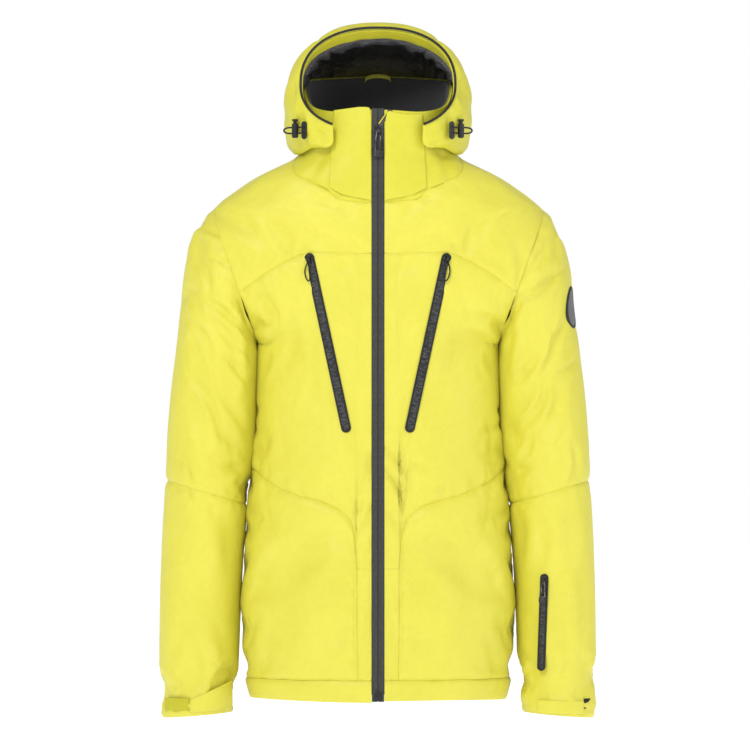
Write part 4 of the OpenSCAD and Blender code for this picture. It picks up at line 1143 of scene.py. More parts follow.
def add_hem():
    """Hem channel: a folded band with soft ripples and its drawcord inside."""
    ways = spots(1150, 4.5) * 4
    rows = spots(29, 3)
    run = ways * HEM_QUARTER
    way, z = panel_grid(ways, hem_bottom, above_hem, rows)
    points, normals = body_surface(way, z)
    share = rows[:, None]
    wave = np.sin(run / 17.0 + 2 * np.sin(run / 61)) * 0.7 + np.sin(run / 7.3 + 1.5 * np.sin(run / 29)) * 0.35
    bulge = 1.6 * np.sin(np.pi * share) ** 0.7 + wave[None, :] * (0.35 + 0.65 * share) * 0.9
    lift = BODY_SEAMS.offset(points) + bulge
    drop = 1.4 * np.sin(run / 71.0 + 0.6) * (1 - share)
    outer = points + normals * lift[..., None] + [0, 0, 1] * drop[..., None]
    inner = points - normals * HEM_THICK + [0, 0, 1] * drop[..., None]
    obj = slab("hem_cloth", outer, inner, SHELL, lengths_uv(points))
    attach(obj, "jacket_body")
    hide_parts("hem_band", "hem_drawcord")


def collar_low(way):
    return smooth(NECK_SEAM, way) - 0.7


def collar_high(way):
    return smooth(COLLAR_EDGE, way)


COLLAR_THICK = 3.2
COLLAR_FRONT = -110         # y in front of which a point is on the front of the collar
COLLAR_FOLDS = [[-70, -100, -92, -150, 7, 0.8], [74, -98, 96, -150, 7, 0.8], [-24, -150, -60, -176, 8, 0.6],
                [30, -150, 62, -172, 8, 0.6]]


def add_collar():
    """Stand-up collar in shell cloth."""
    ways = spots(620, 4.5) * 4
    rows = spots(100, 4.5)
    way, z = panel_grid(ways, collar_low, collar_high, rows)
    points, normals = body_surface(way, z)
    share = rows[:, None]
    swell = 1.1 * np.sin(np.pi * share) + 0.5 * np.sin(way * 17) * np.sin(np.pi * share)
    lift = swell + fold_offset(points, COLLAR_FOLDS) * (points[..., 1] < COLLAR_FRONT)
    lift = (lift + BODY_SEAMS.offset(points, 0.8))[..., None]
    inner = points - normals * COLLAR_THICK
    # The collar takes the darker copy of the twill, which paints shade on it.
    obj = slab("collar_cloth", points + normals * lift, inner, PAINTED_SHADE_TWILL, lengths_uv(points))
    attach(obj, "jacket_body")
    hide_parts("collar_shell")


def knit_low(way):
    return collar_low(way) - 14


def knit_high(way):
    return collar_high(way) - 1.2


def add_collar_knit():
    """Brushed knit inside the collar, in soft waves, with a seam at the middle of the back."""
    ways = 0.035 + spots(600, 5) * 3.93
    rows = spots(104, 5)
    way, z = panel_grid(ways, knit_low, knit_high, rows)
    points, normals = body_surface(way, z)
    share = rows[:, None]
    soft = 2.0 * np.sin(way * 13 + 1.0) * np.sin(np.pi * share) + 1.2 * np.sin(way * 29) * (1 - share)
    soft = soft - 1.2 * np.exp(-((way - 2) / 0.012) ** 2)
    face = points - normals * (4.3 + 0.6 * soft[..., None])
    obj = slab("collar_knit", face, points - normals * 7.4, FLEECE, lengths_uv(points), True)
    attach(obj, "jacket_body")
    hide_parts("collar_lining")


def add_collar_edge():
    """Overlocked thread along the collar's top edge."""
    way = np.linspace(0.04, 3.96, 340)
    turn = half_way(way)
    points, normals = body_surface(way, collar_high(turn) - 0.6)
    line = points - normals * 3.3 + [0, 0, 0.5]
    rope("collar_edge_thread", line, 0.75, THREAD_EDGE, "jacket_body")


def rope(name, points, radius, look, body, closed=False, sides=8):
    """A round strand along points in mm."""
    points = np.asarray(points, float)
    ahead, behind = np.roll(points, -1, 0), np.roll(points, 1, 0)
    if not closed:
        ahead[-1], behind[0] = points[-1], points[0]
    along = unit(ahead - behind)
    side = unit(np.cross(along, np.where(np.abs(along[:, [2]]) > 0.9, [1.0, 0, 0], [0, 0, 1.0])))
    for i in range(1, len(points)):
        side[i] = side[i - 1] - along[i] * np.dot(side[i - 1], along[i])
        side[i] /= np.linalg.norm(side[i])
    other = np.cross(along, side)
    angle = np.linspace(0, 2 * np.pi, sides, endpoint=False)
    radius = np.broadcast_to(radius, (len(points),))
    ring = points[:, None] + radius[:, None, None] * (side[:, None] * np.cos(angle)[None, :, None]
                                                      + other[:, None] * np.sin(angle)[None, :, None])
    rows, cols = ring.shape[:2]
    faces = square_faces(rows, cols, wrap=True).tolist()
    verts = ring.reshape(-1, 3)
    if closed:
        last = (rows - 1) * cols
        faces += [(last + c, last + (c + 1) % cols, (c + 1) % cols, c) for c in range(cols)]
    else:
        faces += [tuple(range(cols))[::-1], tuple(range((rows - 1) * cols, rows * cols))]
    run = running(points)
    uv = np.stack([np.broadcast_to(run[:, None], (rows, cols)),
                   np.broadcast_to(angle[None, :] * radius[:, None], (rows, cols))], -1)
    obj = mesh_object(name, verts, faces, look, uv)
    if body:
        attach(obj, body)
    return obj


# ---- sleeves ----

ARM_AWAY = np.array([0.94, 0.0, -0.338])
TIP_TUCK = 5.5      # how far its topmost point slides on up the shoulder
TIP_UP = np.array([-0.76, 0.0, 0.65])
TUCK = 2.2          # how far the sleeve's end goes in under the body's cloth, in mm
BADGE_STATION, BADGE_ANGLE = 3.75, 16.0
SLEEVE_COLS = 118
SLEEVE_THICK = 7.0


def bend_with_arm(obj):
    """A piece on a sleeve: its transform is baked into the mesh."""
    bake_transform(obj)


def facing(normals, sign):
    """1 where the cloth faces the front (sign -1) or the back (sign 1), fading at the sides."""
    return np.clip(normals[..., 1] * sign * 2.2 - 0.5, 0, 1)


def on_side(folds, side):
    """Folds given for the left, set on the chosen side."""
    return [[side * x0, z0, side * x1, z1, width, depth] for x0, z0, x1, z1, width, depth in folds]


def sleeve_offset(points, normals, side, seams):
    """Everything that moves a sleeve's cloth off its plain surface, except the puff."""
    folds = SLEEVE_FOLDS_LEFT if side > 0 else SLEEVE_FOLDS_RIGHT
    front = fold_offset(points, folds + on_side(ARMHOLE_VALLEY, side)) * facing(normals, -1)
    behind = fold_offset(points, on_side(SLEEVE_BACK_FOLDS, side)) * facing(normals, 1)
    lift = front + behind
    if side > 0:
        away = np.linalg.norm(points - sleeve_point(BADGE_STATION, BADGE_ANGLE), axis=-1)
        lift = lift * (1 - 0.9 * np.exp(-(away / 36) ** 4)) + zip_lift(points)
    return lift + seams.offset(points)


def add_sleeve(side):
    """Padded cloth of a sleeve in two pieces, above and below the elbow seam."""
    name = SIDE_NAMES[side]
    seams = Seams(sleeve_seams(side))
    for part, top, bottom, tall in (("upper", 0.0, ELBOW_STATION, 400),
                                    ("lower", ELBOW_STATION, CUFF_STATION, 300)):
        rows = spots(tall, 4.5)[:, None]
        stations = bottom + (top - bottom) * rows
        turns = (np.linspace(0, 1, SLEEVE_COLS + 1)[:-1] + 0.5) % 1     # starts on the inner side
        angle = -360 * turns[None, :] * side
        points, normals = sleeve_surface(stations, angle, side)
        puff = finer(PUFF[part + "_" + name], rows[:, 0], turns, True)
        away = np.linalg.norm(points - sleeve_point(BADGE_STATION, BADGE_ANGLE), axis=-1)
        calm = np.exp(-np.maximum(zip_lift(points), 0)) * (1 - 0.9 * np.exp(-(away / 38) ** 4))
        inner = (angle * side / 180 + 1) / 0.16
        lift = sleeve_offset(points, normals, side, seams) + puff * calm * gentle(stations / 1.3)
        lift = np.maximum(lift + 3.2 * waist_bulge(points[..., 2], inner), DEEPEST + 1)
        at_seam = np.exp(-(stations / 0.12) ** 2)[..., None]
        off_tip = 180 - np.abs(np.abs(angle) - 180)
        at_tip = np.exp(-(off_tip / 30) ** 2)[..., None]
        tuck = at_seam * (TIP_TUCK * at_tip * TIP_UP - TUCK * ARM_AWAY) * [side, 1, 1]
        outer = points + normals * lift[..., None] + tuck
        inner_face = points - normals * SLEEVE_THICK + tuck
        label = part + "_sleeve_cloth_" + name
        obj = slab(label, outer, inner_face, SHELL, lengths_uv(points), wrap=True)
        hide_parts("sleeve_%s_%s" % (part, name))
        bend_with_arm(obj)


def add_sleeve_lining(side):
    """Quilted black lining inside a sleeve, finely creased."""
    name = SIDE_NAMES[side]
    rows = spots(700, 9)[:, None]
    stations = 0.25 + (CUFF_STATION - 0.35) * (1 - rows)
    turns = np.linspace(0, 1, 73)[:-1]
    points, normals = sleeve_surface(stations, -360 * turns[None, :] * side, side)
    crease = 0.9 * np.sin(turns[None, :] * 60 + rows * 19) * np.sin(rows * 47 + turns[None, :] * 12)
    obj = slab("sleeve_taffeta_" + name, points - normals * (8.6 - 0.8 * crease[..., None]),
               points - normals * 10.4, LINING, lengths_uv(points), wrap=True)
    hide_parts("sleeve_lining_" + name)
    bend_with_arm(obj)


def add_badge():
    """Plain round patch on the left sleeve: a dark raised rim round a grey face."""
    step = 0.02
    here = sleeve_point(BADGE_STATION, BADGE_ANGLE)
    per_station = np.linalg.norm(sleeve_point(BADGE_STATION + step, BADGE_ANGLE) - here) / step
    per_degree = np.linalg.norm(sleeve_point(BADGE_STATION, BADGE_ANGLE + 1) - here)
    turns = np.linspace(0, 2 * np.pi, 97)[:-1][None, :]
    for name, radii, heights, look in (
            ("badge_face", [0.4, 6, 6.6, 7.2, 12, 16, 16.6, 17.4, 22, 25.2],
             [1.9, 1.9, 1.55, 1.9, 1.9, 1.9, 1.5, 1.9, 1.9, 1.7], BADGE_GREY),
            ("badge_rim", [25.0, 25.3, 25.9, 27.4, 28.9, 29.4, 29.5],
             [0.9, 1.9, 2.35, 2.5, 2.2, 1.5, 0.3], RUBBER)):
        r = np.array(radii)[:, None]
        station = BADGE_STATION - r * np.sin(turns) / per_station
        points, normals = sleeve_surface(station, BADGE_ANGLE + r * np.cos(turns) / per_degree)
        face = points + normals * np.array(heights)[:, None, None]
        obj = slab(name, face, points - normals * 0.4, look, lengths_uv(points), wrap=True)
        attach(obj, "sleeve_left")
        if name == "badge_rim":
            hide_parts("sleeve_badge")


# ---- hood ----

HOOD_SEAM_DEPTH = 1.1
BRIM_DIP = 15.0
BRIM_END = 0.15         # share along the ribs at which the facing ends


def bend_with_hood(obj):
    """A piece of the hood: its transform is baked into the mesh."""
    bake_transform(obj)


# Valleys of the hood: share along the ribs and angle of the two ends, width and depth
HOOD_FOLDS = [
    [0.06, 60, 0.3, 74, 7, 1.0], [0.05, -62, 0.28, -78, 7, 1.0], [0.2, 96, 0.5, 88, 8, 1.2],
    [0.22, -100, 0.5, -90, 8, 1.2], [0.05, 118, 0.24, 122, 5, 1.4], [0.05, -116, 0.25, -124, 5, 1.4],
    [0.55, 50, 0.85, 62, 9, 1.2], [0.52, -56, 0.85, -66, 9, 1.2], [0.62, 0, 0.9, 8, 12, 0.9],
    [0.3, -12, 0.5, 4, 10, 0.7], [0.75, 92, 0.95, 100, 8, 1.3], [0.74, -94, 0.95, -102, 8, 1.3],
    [0.86, -30, 0.97, -20, 8, 1.0], [0.86, 26, 0.97, 34, 8, 1.0],
]


def hood_fold_offset(points):
    """Valleys with raised sides between the ends of each hood fold."""
    total = np.zeros(points.shape[:-1])
    for t0, a0, t1, a1, width, depth in HOOD_FOLDS:
        ends = hood_point(np.array([t0, t1]), np.array([a0, a1], float))
        way = ends[1] - ends[0]
        along = (points - ends[0]) @ way / (way @ way)
        nearest = ends[0] + np.clip(along, 0, 1)[..., None] * way
        away = np.linalg.norm(points - nearest, axis=-1)
        r = np.maximum(away - 3, 0) / width
        total -= depth * (np.exp(-r**2) - 0.5 * np.exp(-((r - 1.6) / 0.9) ** 2))
    return total


def hood_cloth(name, t, angle, puff, node, seams):
    """One padded panel of the hood over a grid of t and angle."""
    points, normals = hood_surface(t, angle)
    lift = hood_fold_offset(points) + seams.offset(points, HOOD_SEAM_DEPTH) + puff
    rim = np.exp(-(t / 0.012) ** 2)
    lift = lift * (1 - rim) + rim * 0.6
    flip = angle[0, -1] < angle[0, 0]
    outer = points + normals * lift[..., None]
    # The hood takes the darker copy of the twill, which paints shade on it.
    obj = slab(name, outer, points - normals * 3.6, PAINTED_SHADE_TWILL, lengths_uv(points), flip)
    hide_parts(node)
    bend_with_hood(obj)


def add_hood_shell():
    seams = Seams(hood_seams())
    rows = spots(330, 4.5)
    t = HOOD_LAST * (1 - rows)[:, None]
    cols = spots(160, 4.5)
    angle = -HOOD_SEAM + 2 * HOOD_SEAM * cols[None, :] + 0 * t
    puff = finer(PUFF["hood_centre"], rows, cols)
    hood_cloth("hood_cloth_centre", t + 0 * angle, angle, puff, "hood_centre", seams)
    for side, name in SIDE_NAMES.items():
        cols = spots(180, 4.5)
        angle = side * (HOOD_SEAM + (hood_end(t) - HOOD_SEAM) * cols[None, :])
        puff = finer(PUFF["hood_" + name], rows, cols)
        hood_cloth("hood_cloth_" + name, t + 0 * angle, angle, puff, "hood_side_" + name, seams)


def brim_dip(t, angle):
    """How far the padded brim's inside face leans down behind the opening, in mm."""
    rise = np.sin(np.pi / 2 * np.clip(t / BRIM_END, 0, 1))
    fall = np.exp(-(np.maximum(t - BRIM_END, 0) / 0.17) ** 2)
    return BRIM_DIP * rise * fall * np.clip(np.cos(np.radians(angle) * 0.8), 0, 1)


def add_hood_facing():
    """Creased facing of shell cloth behind the hood's opening."""
    t = np.linspace(0.003, BRIM_END, 14)[:, None]
    angle = np.linspace(-146, 146, 170)[None, :]
    points, normals = hood_surface(t, angle)
    crease = 0.7 * np.sin(angle / 3.3 + 3 * np.sin(angle / 17)) * np.sin(np.pi * t / BRIM_END)
    crease += 0.9 * np.sin(angle / 9.0 + 1.0) * (t / BRIM_END)
    dip = brim_dip(t, angle)[..., None]
    face = points - normals * (4.9 + dip - crease[..., None])
    # The facing takes the olive copy of the twill, which paints shade inside the brim.
    obj = slab("hood_facing", face, points - normals * (3.7 + dip), PAINTED_SHADE_FACING, lengths_uv(points), True)
    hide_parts("hood_brim")
    bend_with_hood(obj)


def lining_share(rows):
    """Shares along the ribs for the rows of the hood lining."""
    return (0.125 + 0.845 * rows)[:, None]


def add_hood_lining():
    """Shiny lining gathered onto the facing, hanging in folds."""
    rows = spots(300, 3.6, False)
    cols = spots(520, 3.8, False)
    t = lining_share(rows)
    angle = (-1 + 2 * cols)[None, :] * (hood_end(t) - 3)
    points, normals = hood_surface(t, angle)
    crumple = finer(LINING_PUFF, rows, cols)
    row, col = rows[:, None], cols[None, :]
    gather = np.sin(col * 150 + 4 * np.sin(col * 31)) * np.exp(-(row / 0.05) ** 2)
    hang = np.sin(col * 66 + 3 * np.sin(col * 19)) + 0.6 * np.sin(col * 104 + row * 9)
    hang = hang * gentle(row / 0.08) * (1 - gentle((row - 0.5) / 0.4))
    depth = 10.5 - crumple - 1.6 * gather - 2.2 * hang
    depth = np.maximum(depth - 2.4 * np.exp(-(row / 0.02) ** 2), 4.6)[..., None]
    dip = brim_dip(t, angle)[..., None]
    face, back = points - normals * (depth + dip), points - normals * (3.9 + dip)
    obj = slab("hood_taffeta", face, back, LINING, lengths_uv(points))
    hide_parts("hood_lining")
    bend_with_hood(obj)


def add_hood_piping():
    """Black piping round the hood's opening."""
    angle = np.linspace(-147, 147, 260)
    line = hood_point(0.0, angle, 1.0) - [0, 2.0, 0]
    obj = rope("hood_edge_piping", line, 1.75, TRIM, None, sides=12)
    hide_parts("hood_piping")
    bend_with_hood(obj)


def lining_field():
    """How far the loose hood lining stands into the hood."""
    t = lining_share(np.linspace(0, 1, 46))
    angle = np.linspace(-1, 1, 76)[None, :] * (hood_end(t) - 3)
    points, normals = hood_surface(t, angle)
    grid = (points - normals * 9, -normals, False)
    return relax("lining_run", [grid], growth=0.09, pressure=0.5, cap=6.0, frames=20)[0]


LINING_PUFF = lining_field()


# ---- zips ----


def zigzag(phase):
    """Triangle wave between 0 and 1."""
    return 2 * np.abs(phase - np.floor(phase + 0.5))


def flat_strip(name, place, half_width, height, look, body, relief=None, round_ends=(False, True),
               thick=1.0, cols=15, step=1.0, ends=(0.0, 0.0)):
    """A long strip on a bar's front face, in rows along it; relief(along, across) adds to its height."""
    centre, along, across, out, half = place
    length = 2 * half[0] - ends[0] - ends[1]
    u = np.linspace(0, length, max(3, round(length / step)))
    first = np.minimum(u, half_width) if round_ends[0] else half_width + 0 * u
    last = np.minimum(length - u, half_width) if round_ends[1] else half_width + 0 * u
    width = np.sqrt(np.maximum(half_width**2 - (half_width - np.minimum(first, last)) ** 2, 0.01))
    share = np.sin(np.linspace(-1, 1, cols) * np.pi / 2)
    v = width[:, None] * share[None, :]
    h = height + 0 * v
    if relief:
        h = h + relief(u[:, None] + 0 * v, v)
    h = h - 0.5 * height * np.abs(share[None, :]) ** 8
    place_at = centre + (u + ends[0] - half[0])[:, None, None] * along + v[..., None] * across
    outer = place_at + (half[2] + h)[..., None] * out
    inner = place_at + (half[2] - thick) * out
    uv = np.stack([v, u[:, None] + 0 * v], -1)
    flip = np.dot(np.cross(across, along), out) < 0
    obj = slab(name, outer, inner, look, uv, not flip)
    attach(obj, body)
    return obj


def coil_relief(u, v):
    return -0.7 * zigzag(u / 1.6) * (np.abs(v) > 0.3)


def foot_relief(u, v):
    """A groove down the middle of the zip's foot, with a raised bar on each side."""
    return -0.4 * np.exp(-(v / 0.5) ** 2) + 0.3 * (np.abs(u - 7) < 3.5) * (np.abs(v) > 1.2)


def flap_relief(u, v):
    return 0.25 * np.sin(u / 13.0)


def add_main_zip():
    """Flat woven tapes that meet over the hidden coil, with the box at the foot."""
    for side, name in SIDE_NAMES.items():
        place = bar_frame("zip_tape_" + name)
        half = place[4][1]

        def relief(u, v, side=side, half=half):
            from_edge = half + side * v
            ridge = 0.35 * np.exp(-((from_edge - 1.7) / 0.9) ** 2)
            line = -0.25 * np.exp(-((from_edge - 4.3) / 0.35) ** 2)
            teeth = 0.05 * np.sin(u / 0.45) * np.exp(-((from_edge - 1.7) / 1.2) ** 2)
            return ridge + line + teeth

        obj = flat_strip("zip_weave_" + name, place, half - 0.1, 0.35, TAPE, "jacket_body",
                         relief, (False, False), thick=1.2, cols=17, step=1.1)
        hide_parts("zip_tape_" + name)
    place = bar_frame("zip_coil")
    obj = flat_strip("zip_spiral", place, place[4][1] - 0.05, 0.0, PLASTIC, "jacket_body",
                     coil_relief, (False, False), cols=7, step=0.8)
    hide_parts("zip_coil")
    place = bar_frame("zip_box")
    obj = flat_strip("zip_foot", place, place[4][1], 0.35, PLASTIC, "jacket_body",
                     foot_relief, (True, False), thick=1.8, step=0.7)
    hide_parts("zip_box")
    place = bar_frame("storm_flap")
    obj = flat_strip("wind_flap", place, place[4][1], 0.0, TRIM, "jacket_body",
                     flap_relief, (False, False), thick=1.4, cols=13, step=5)
    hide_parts("storm_flap")


def streaks(u, v):
    """Slanting ribs that change direction every few millimetres."""
    lean = np.sign(np.sin(u / 5.6)) * 1.1
    return 0.32 * zigzag((u + lean * v) / 2.3) + 0.12 * zigzag((u - 0.6 * v) / 5.1)


def add_pocket_zip(node, label, body, wide, top=0.0):
    """Dark edging with a streaked raised centre; top is how much lower the visual zip starts, in mm."""
    place = bar_frame(node)
    edge = flat_strip(label + "_edging", place, place[4][1], 0.35, TRIM, body,
                      None, (True, True), thick=1.2, cols=11, step=1.2, ends=(top, 0.0))
    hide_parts(node)
    flat_strip(label + "_relief", place, wide, 0.75, RELIEF, body,
               streaks, (True, True), thick=0.9, cols=17, step=0.55, ends=(top + 2.5, 3.2))


def joint_place(name):
    """Where a hinge turns, in mm."""
    joint = next(j for j in frame["joints"] if j["name"] == name)
    return np.array(joint["pos_m"]) / MM


def add_slider(label, node, body):
    """Die-cast slider: a waisted plate with rolled edges and an arched bridge for the puller."""
    centre, along, across, out, half = slider_frame(node)
    u = np.linspace(-1, 1, 25)
    width = half[1] * (0.80 + 0.20 * np.cos(np.pi * (u + 0.55)) ** 2)
    width *= np.sqrt(np.clip(1 - np.clip((np.abs(u) - 0.8) / 0.22, 0, 1) ** 2, 0.05, 1))
    share = np.linspace(-1, 1, 15)
    v = width[:, None] * share[None, :]
    thick = 1.5
    h = thick + 0.5 * np.exp(-((np.abs(share) - 0.86) / 0.12) ** 2)[None, :] * (np.abs(u) < 0.85)[:, None]
    h = h - 0.9 * np.abs(share[None, :]) ** 10
    at = centre + (u * half[0])[:, None, None] * along + v[..., None] * across
    base = at + (0 * h - 0.05)[..., None] * out
    uv = np.stack([v, (u * half[0])[:, None] + 0 * v], -1)
    turned = np.dot(np.cross(across, along), out) > 0
    obj = slab(label + "_plate", at + h[..., None] * out, base, METAL, uv, turned)
    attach(obj, body)
    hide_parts(node)
    s = np.linspace(0, np.pi, 17)
    reach = half[2] * 2 - thick * 0.4
    down, rise = -np.cos(s) * half[0] * 0.62, thick * 0.4 + np.sin(s) * reach
    arch = centre + down[:, None] * along + rise[:, None] * out
    rope(label + "_bridge", arch, 0.95, METAL, body)


def slider_frame(node):
    """Frame of a slider: the plate's foot, its zip's direction, and its half sizes."""
    zips = {"main_slider": "zip_tape_left", "chest_slider_left": "chest_zip_left",
            "chest_slider_right": "chest_zip_right", "sleeve_zip_slider": "sleeve_zip"}
    centre, along, across, out, half = bar_frame(zips[node])
    basis = np.stack([along, across, out])
    reach = (node_points(node) - centre) @ basis.T
    low, high = reach.min(0), reach.max(0)
    foot = centre + basis.T @ np.array([(low[0] + high[0]) / 2, (low[1] + high[1]) / 2, low[2]])
    return foot, along, across, out, (high - low) / 2


def add_puller(label, node, body, joint, slider, look, width, length, grip, aside=0.0):
    """A knotted cord loop through the bridge, with a moulded end where the zip has one."""
    pivot = joint_place(joint)
    centre, along, across, out, half = slider_frame(slider)
    start = 0.8
    s = np.linspace(0, 1, 61)
    turn = 2 * np.pi * s
    shape = (0.5 * width - 0.9) * np.sin(turn) * (0.45 + 0.55 * np.sin(np.pi * s) ** 2)
    shape = shape + aside * gentle(np.sin(np.pi * s) ** 2 * 1.6)
    down = (length - 1.2) * (1 - np.cos(turn)) / 2
    loop = pivot + shape[:, None] * across + (down - start)[:, None] * along
    loop = loop[:-1]
    strand = rope(label + "_loop", loop, 1.05 if grip else 0.95, look, body, closed=True, sides=10)
    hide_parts(node)
    if grip:
        u = np.linspace(0, 1, 25)
        v = np.linspace(-1, 1, 13)
        wide = (0.5 * width + 0.5) * np.sqrt(np.clip(1 - (2 * u - 1) ** 6, 0.04, 1))
        at = (pivot + (length - 10.5 + 10.8 * u)[:, None, None] * along
              + (wide[:, None] * v[None, :])[..., None] * across)
        sides = 1.55 * np.sqrt(np.clip(1 - np.abs(v) ** 4, 0.05, 1))
        crown = sides[None, :] * np.sqrt(np.clip(1 - (2 * u - 1) ** 8, 0.05, 1))[:, None]
        crown = crown - 0.35 * (zigzag(u / 0.16)[:, None] > 0.6) * (np.abs(v) < 0.7)[None, :]
        uv = np.stack([wide[:, None] * v[None, :], u[:, None] * 11 + 0 * v[None, :]], -1)
        tab = slab(label + "_grip", at + crown[..., None] * out, at - crown[..., None] * out, PLASTIC, uv,
                   np.dot(np.cross(across, along), out) > 0)
        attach(tab, body)


# ---- hanger loop, tabs, straps, locks ----


def ribbon(name, line, across, half_width, thick, look, cols=7):
    """A flat band along a line: across gives its width direction."""
    across = np.broadcast_to(np.asarray(across, float), line.shape)
    along = unit(np.gradient(line, axis=0))
    out = unit(np.cross(across, along))
    share = np.linspace(-1, 1, cols)
    mid = line[:, None] + across[:, None] * share[None, :, None] * half_width
    bulge = thick / 2 * (1 - 0.5 * np.abs(share) ** 6)[None, :, None]
    uv = lengths_uv(mid)
    return slab(name, mid + out[:, None] * bulge, mid - out[:, None] * bulge, look, uv, True)


def add_hanger_loop():
    """Tape loop that stands up inside the collar, at the middle of the back."""
    low, high = box_mm("hanger_loop")
    s = np.linspace(0, 1, 41)
    x = low[0] + 2 + (high[0] - low[0] - 4) * s
    rise = np.clip(np.sin(np.pi * s), 0, 1) ** 0.35
    z = low[2] + 3 + (high[2] - low[2] - 6) * 0.62 * rise
    y = high[1] - 2.0 - 1.6 * np.sin(np.pi * s)
    line = np.stack([x, y, z], -1)
    obj = ribbon("hanger_tape", line, [0, 0.32, 0.95], 2.9, 1.3, SHELL)
    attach(obj, "jacket_body")
    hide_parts("hanger_loop")


def tab_low(x):
    return np.interp(x, [0, 43, 67], [-185, -176, -162])


# Top edge of each tab (x and z), and how far its front edge leans away from the zip:
# most lean in mm, height where it starts, height over which it grows
TABS = {
    "left": ([8, 13, 24, 40, 62], [-62, -59.6, -62.5, -64.3, -63.6], (3.6, 84, 24)),
    "right": ([8, 10, 14, 24, 40, 62], [-57.5, -55.4, -54.4, -54.2, -56.0, -58.7], (2.2, 74, 20)),
}


def add_collar_tab(side):
    """Flat tab of the zip placket that lies over the end of the hood."""
    name = SIDE_NAMES[side]
    rows, cols = spots(128, 3.5)[:, None], spots(54, 3.5)[None, :]
    top_x, top_z, (lean, start, span) = TABS[name]
    guess = 9.2 + 52 * cols
    low = tab_low(guess)
    z = low + (np.interp(guess, top_x, top_z) - low) * rows
    outer_edge = 60 + (-58 - z) * 0.065
    inner_edge = 9.2 + lean * np.clip((z + start) / span, 0, 1) ** 1.5
    x = inner_edge + cols * (outer_edge - inner_edge)
    flat = front_point(x, z)
    ahead = front_point(x + 0.5, z) - front_point(x - 0.5, z)
    up = front_point(x, z + 0.5) - front_point(x, z - 0.5)
    normals = unit(np.cross(ahead, up))
    normals = facing_out(flat, normals, np.stack([0 * z, 0 * z + AXIS_Y, z], -1))
    edge = np.minimum(np.minimum(cols, 1 - cols) * 54, np.minimum(rows, 1 - rows) * 126)
    swell = 2.7 + 1.0 * np.clip(edge / 6, 0, 1) ** 0.5
    swell = swell - 0.55 * np.exp(-((edge - 4.2) / 0.9) ** 2)
    swell = swell + 0.7 * np.sin(z / 21.0 + x / 17.0 + side) * np.clip(edge / 12, 0, 1)
    outer = flat + normals * swell[..., None]
    inner = flat + normals * 0.9
    mirror = np.array([side, 1, 1])
    # The tab takes the darker copy of the twill, which paints shade on it.
    obj = slab("tab_cloth_" + name, outer * mirror, inner * mirror, PAINTED_SHADE_TWILL, lengths_uv(flat), side < 0)
    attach(obj, "jacket_body")
    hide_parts("collar_tab_" + name)


def add_zip_garage():
    """Soft guard folded over the top of the zip, with its bound edge."""
    s = np.linspace(0, 1, 20)
    x = 1.0 + 12.2 * s
    z = -77.5 + 17.0 * s
    line = front_point(x, z) - [0, 1.4, 0]
    rope("garage_binding", line, 0.8, THREAD, "jacket_body")
    rows, cols = np.linspace(0, 1, 16)[:, None], np.linspace(0, 1, 12)[None, :]
    gz = -84 + 26 * rows + 0 * cols
    edge_x = np.interp(gz, [-84, -77.5, -60.5, -57], [0.5, 1.0, 13.2, 14.2])
    gx = edge_x + cols * 6
    flat = front_point(gx, gz)
    bulge = 0.8 + 0.5 * np.sin(np.pi * cols) + 0 * gz
    outer = flat - np.stack([0 * bulge, bulge, 0 * bulge], -1)
    obj = slab("garage_cloth", outer, flat, FLEECE, lengths_uv(flat))
    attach(obj, "jacket_body")


def sleeve_at(x, z):
    """Station and angle of the front of a sleeve at x and z (x given for the left sleeve)."""
    station = np.interp(z, [-899, -850, -800, -720, -640, -570], [13, 12, 11, 10, 9, 8])
    for turn in range(12):
        outer, inner = [smooth(SLEEVE, station, k) + SLEEVE_CLEAR[0] for k in (1, 3)]
        cosine = np.clip((x - (outer + inner) / 2) / ((outer - inner) / 2), -0.999, 0.999)
        angle = np.degrees(np.arccos(cosine))
        wrong = z - sleeve_point(station, angle)[..., 2]
        station = np.clip(station - wrong / 66.0, 0, CUFF_STATION)
    return station, angle


def cuff_piece(name, corners, lift, thick, look, side, body, node, relief=None, step=3.0):
    """A patch on the front of a cuff: corners are x0, low0, high0, x1, low1, high1 for the left sleeve."""
    x0, low0, high0, x1, low1, high1 = corners
    cols, rows = spots(abs(x1 - x0), step)[None, :], spots(abs(high0 - low0), step)[:, None]
    x = x0 + (x1 - x0) * cols + 0 * rows
    low, high = low0 + (low1 - low0) * cols, high0 + (high1 - high0) * cols
    z = low + (high - low) * rows
    station, angle = sleeve_at(x, z)
    points, normals = sleeve_surface(station, angle)
    from_side = np.minimum(cols, 1 - cols) * abs(x1 - x0)
    edge = np.minimum(from_side, np.minimum(rows, 1 - rows) * abs(high0 - low0))
    top = lift + thick * (0.45 + 0.55 * np.clip(edge / 1.6, 0, 1) ** 0.5)
    top = top - 0.35 * np.exp(-((edge - 2.8) / 0.7) ** 2)
    if relief:
        top = top + relief(x, z)
    mirror = np.array([side, 1, 1])
    obj = slab(name, (points + normals * top[..., None]) * mirror, (points + normals * lift) * mirror, look,
               np.stack([x, z], -1), side < 0)
    if body:
        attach(obj, body)
    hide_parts(node)
    return obj


def strap_waves(x, z):
    return 0.35 * np.sin(x / 9.0) + 0.25 * np.sin(z / 6.0 + x / 14.0)


def hook_nap(x, z):
    return 0.12 * np.sin(x * 3.1) * np.sin(z * 3.1)


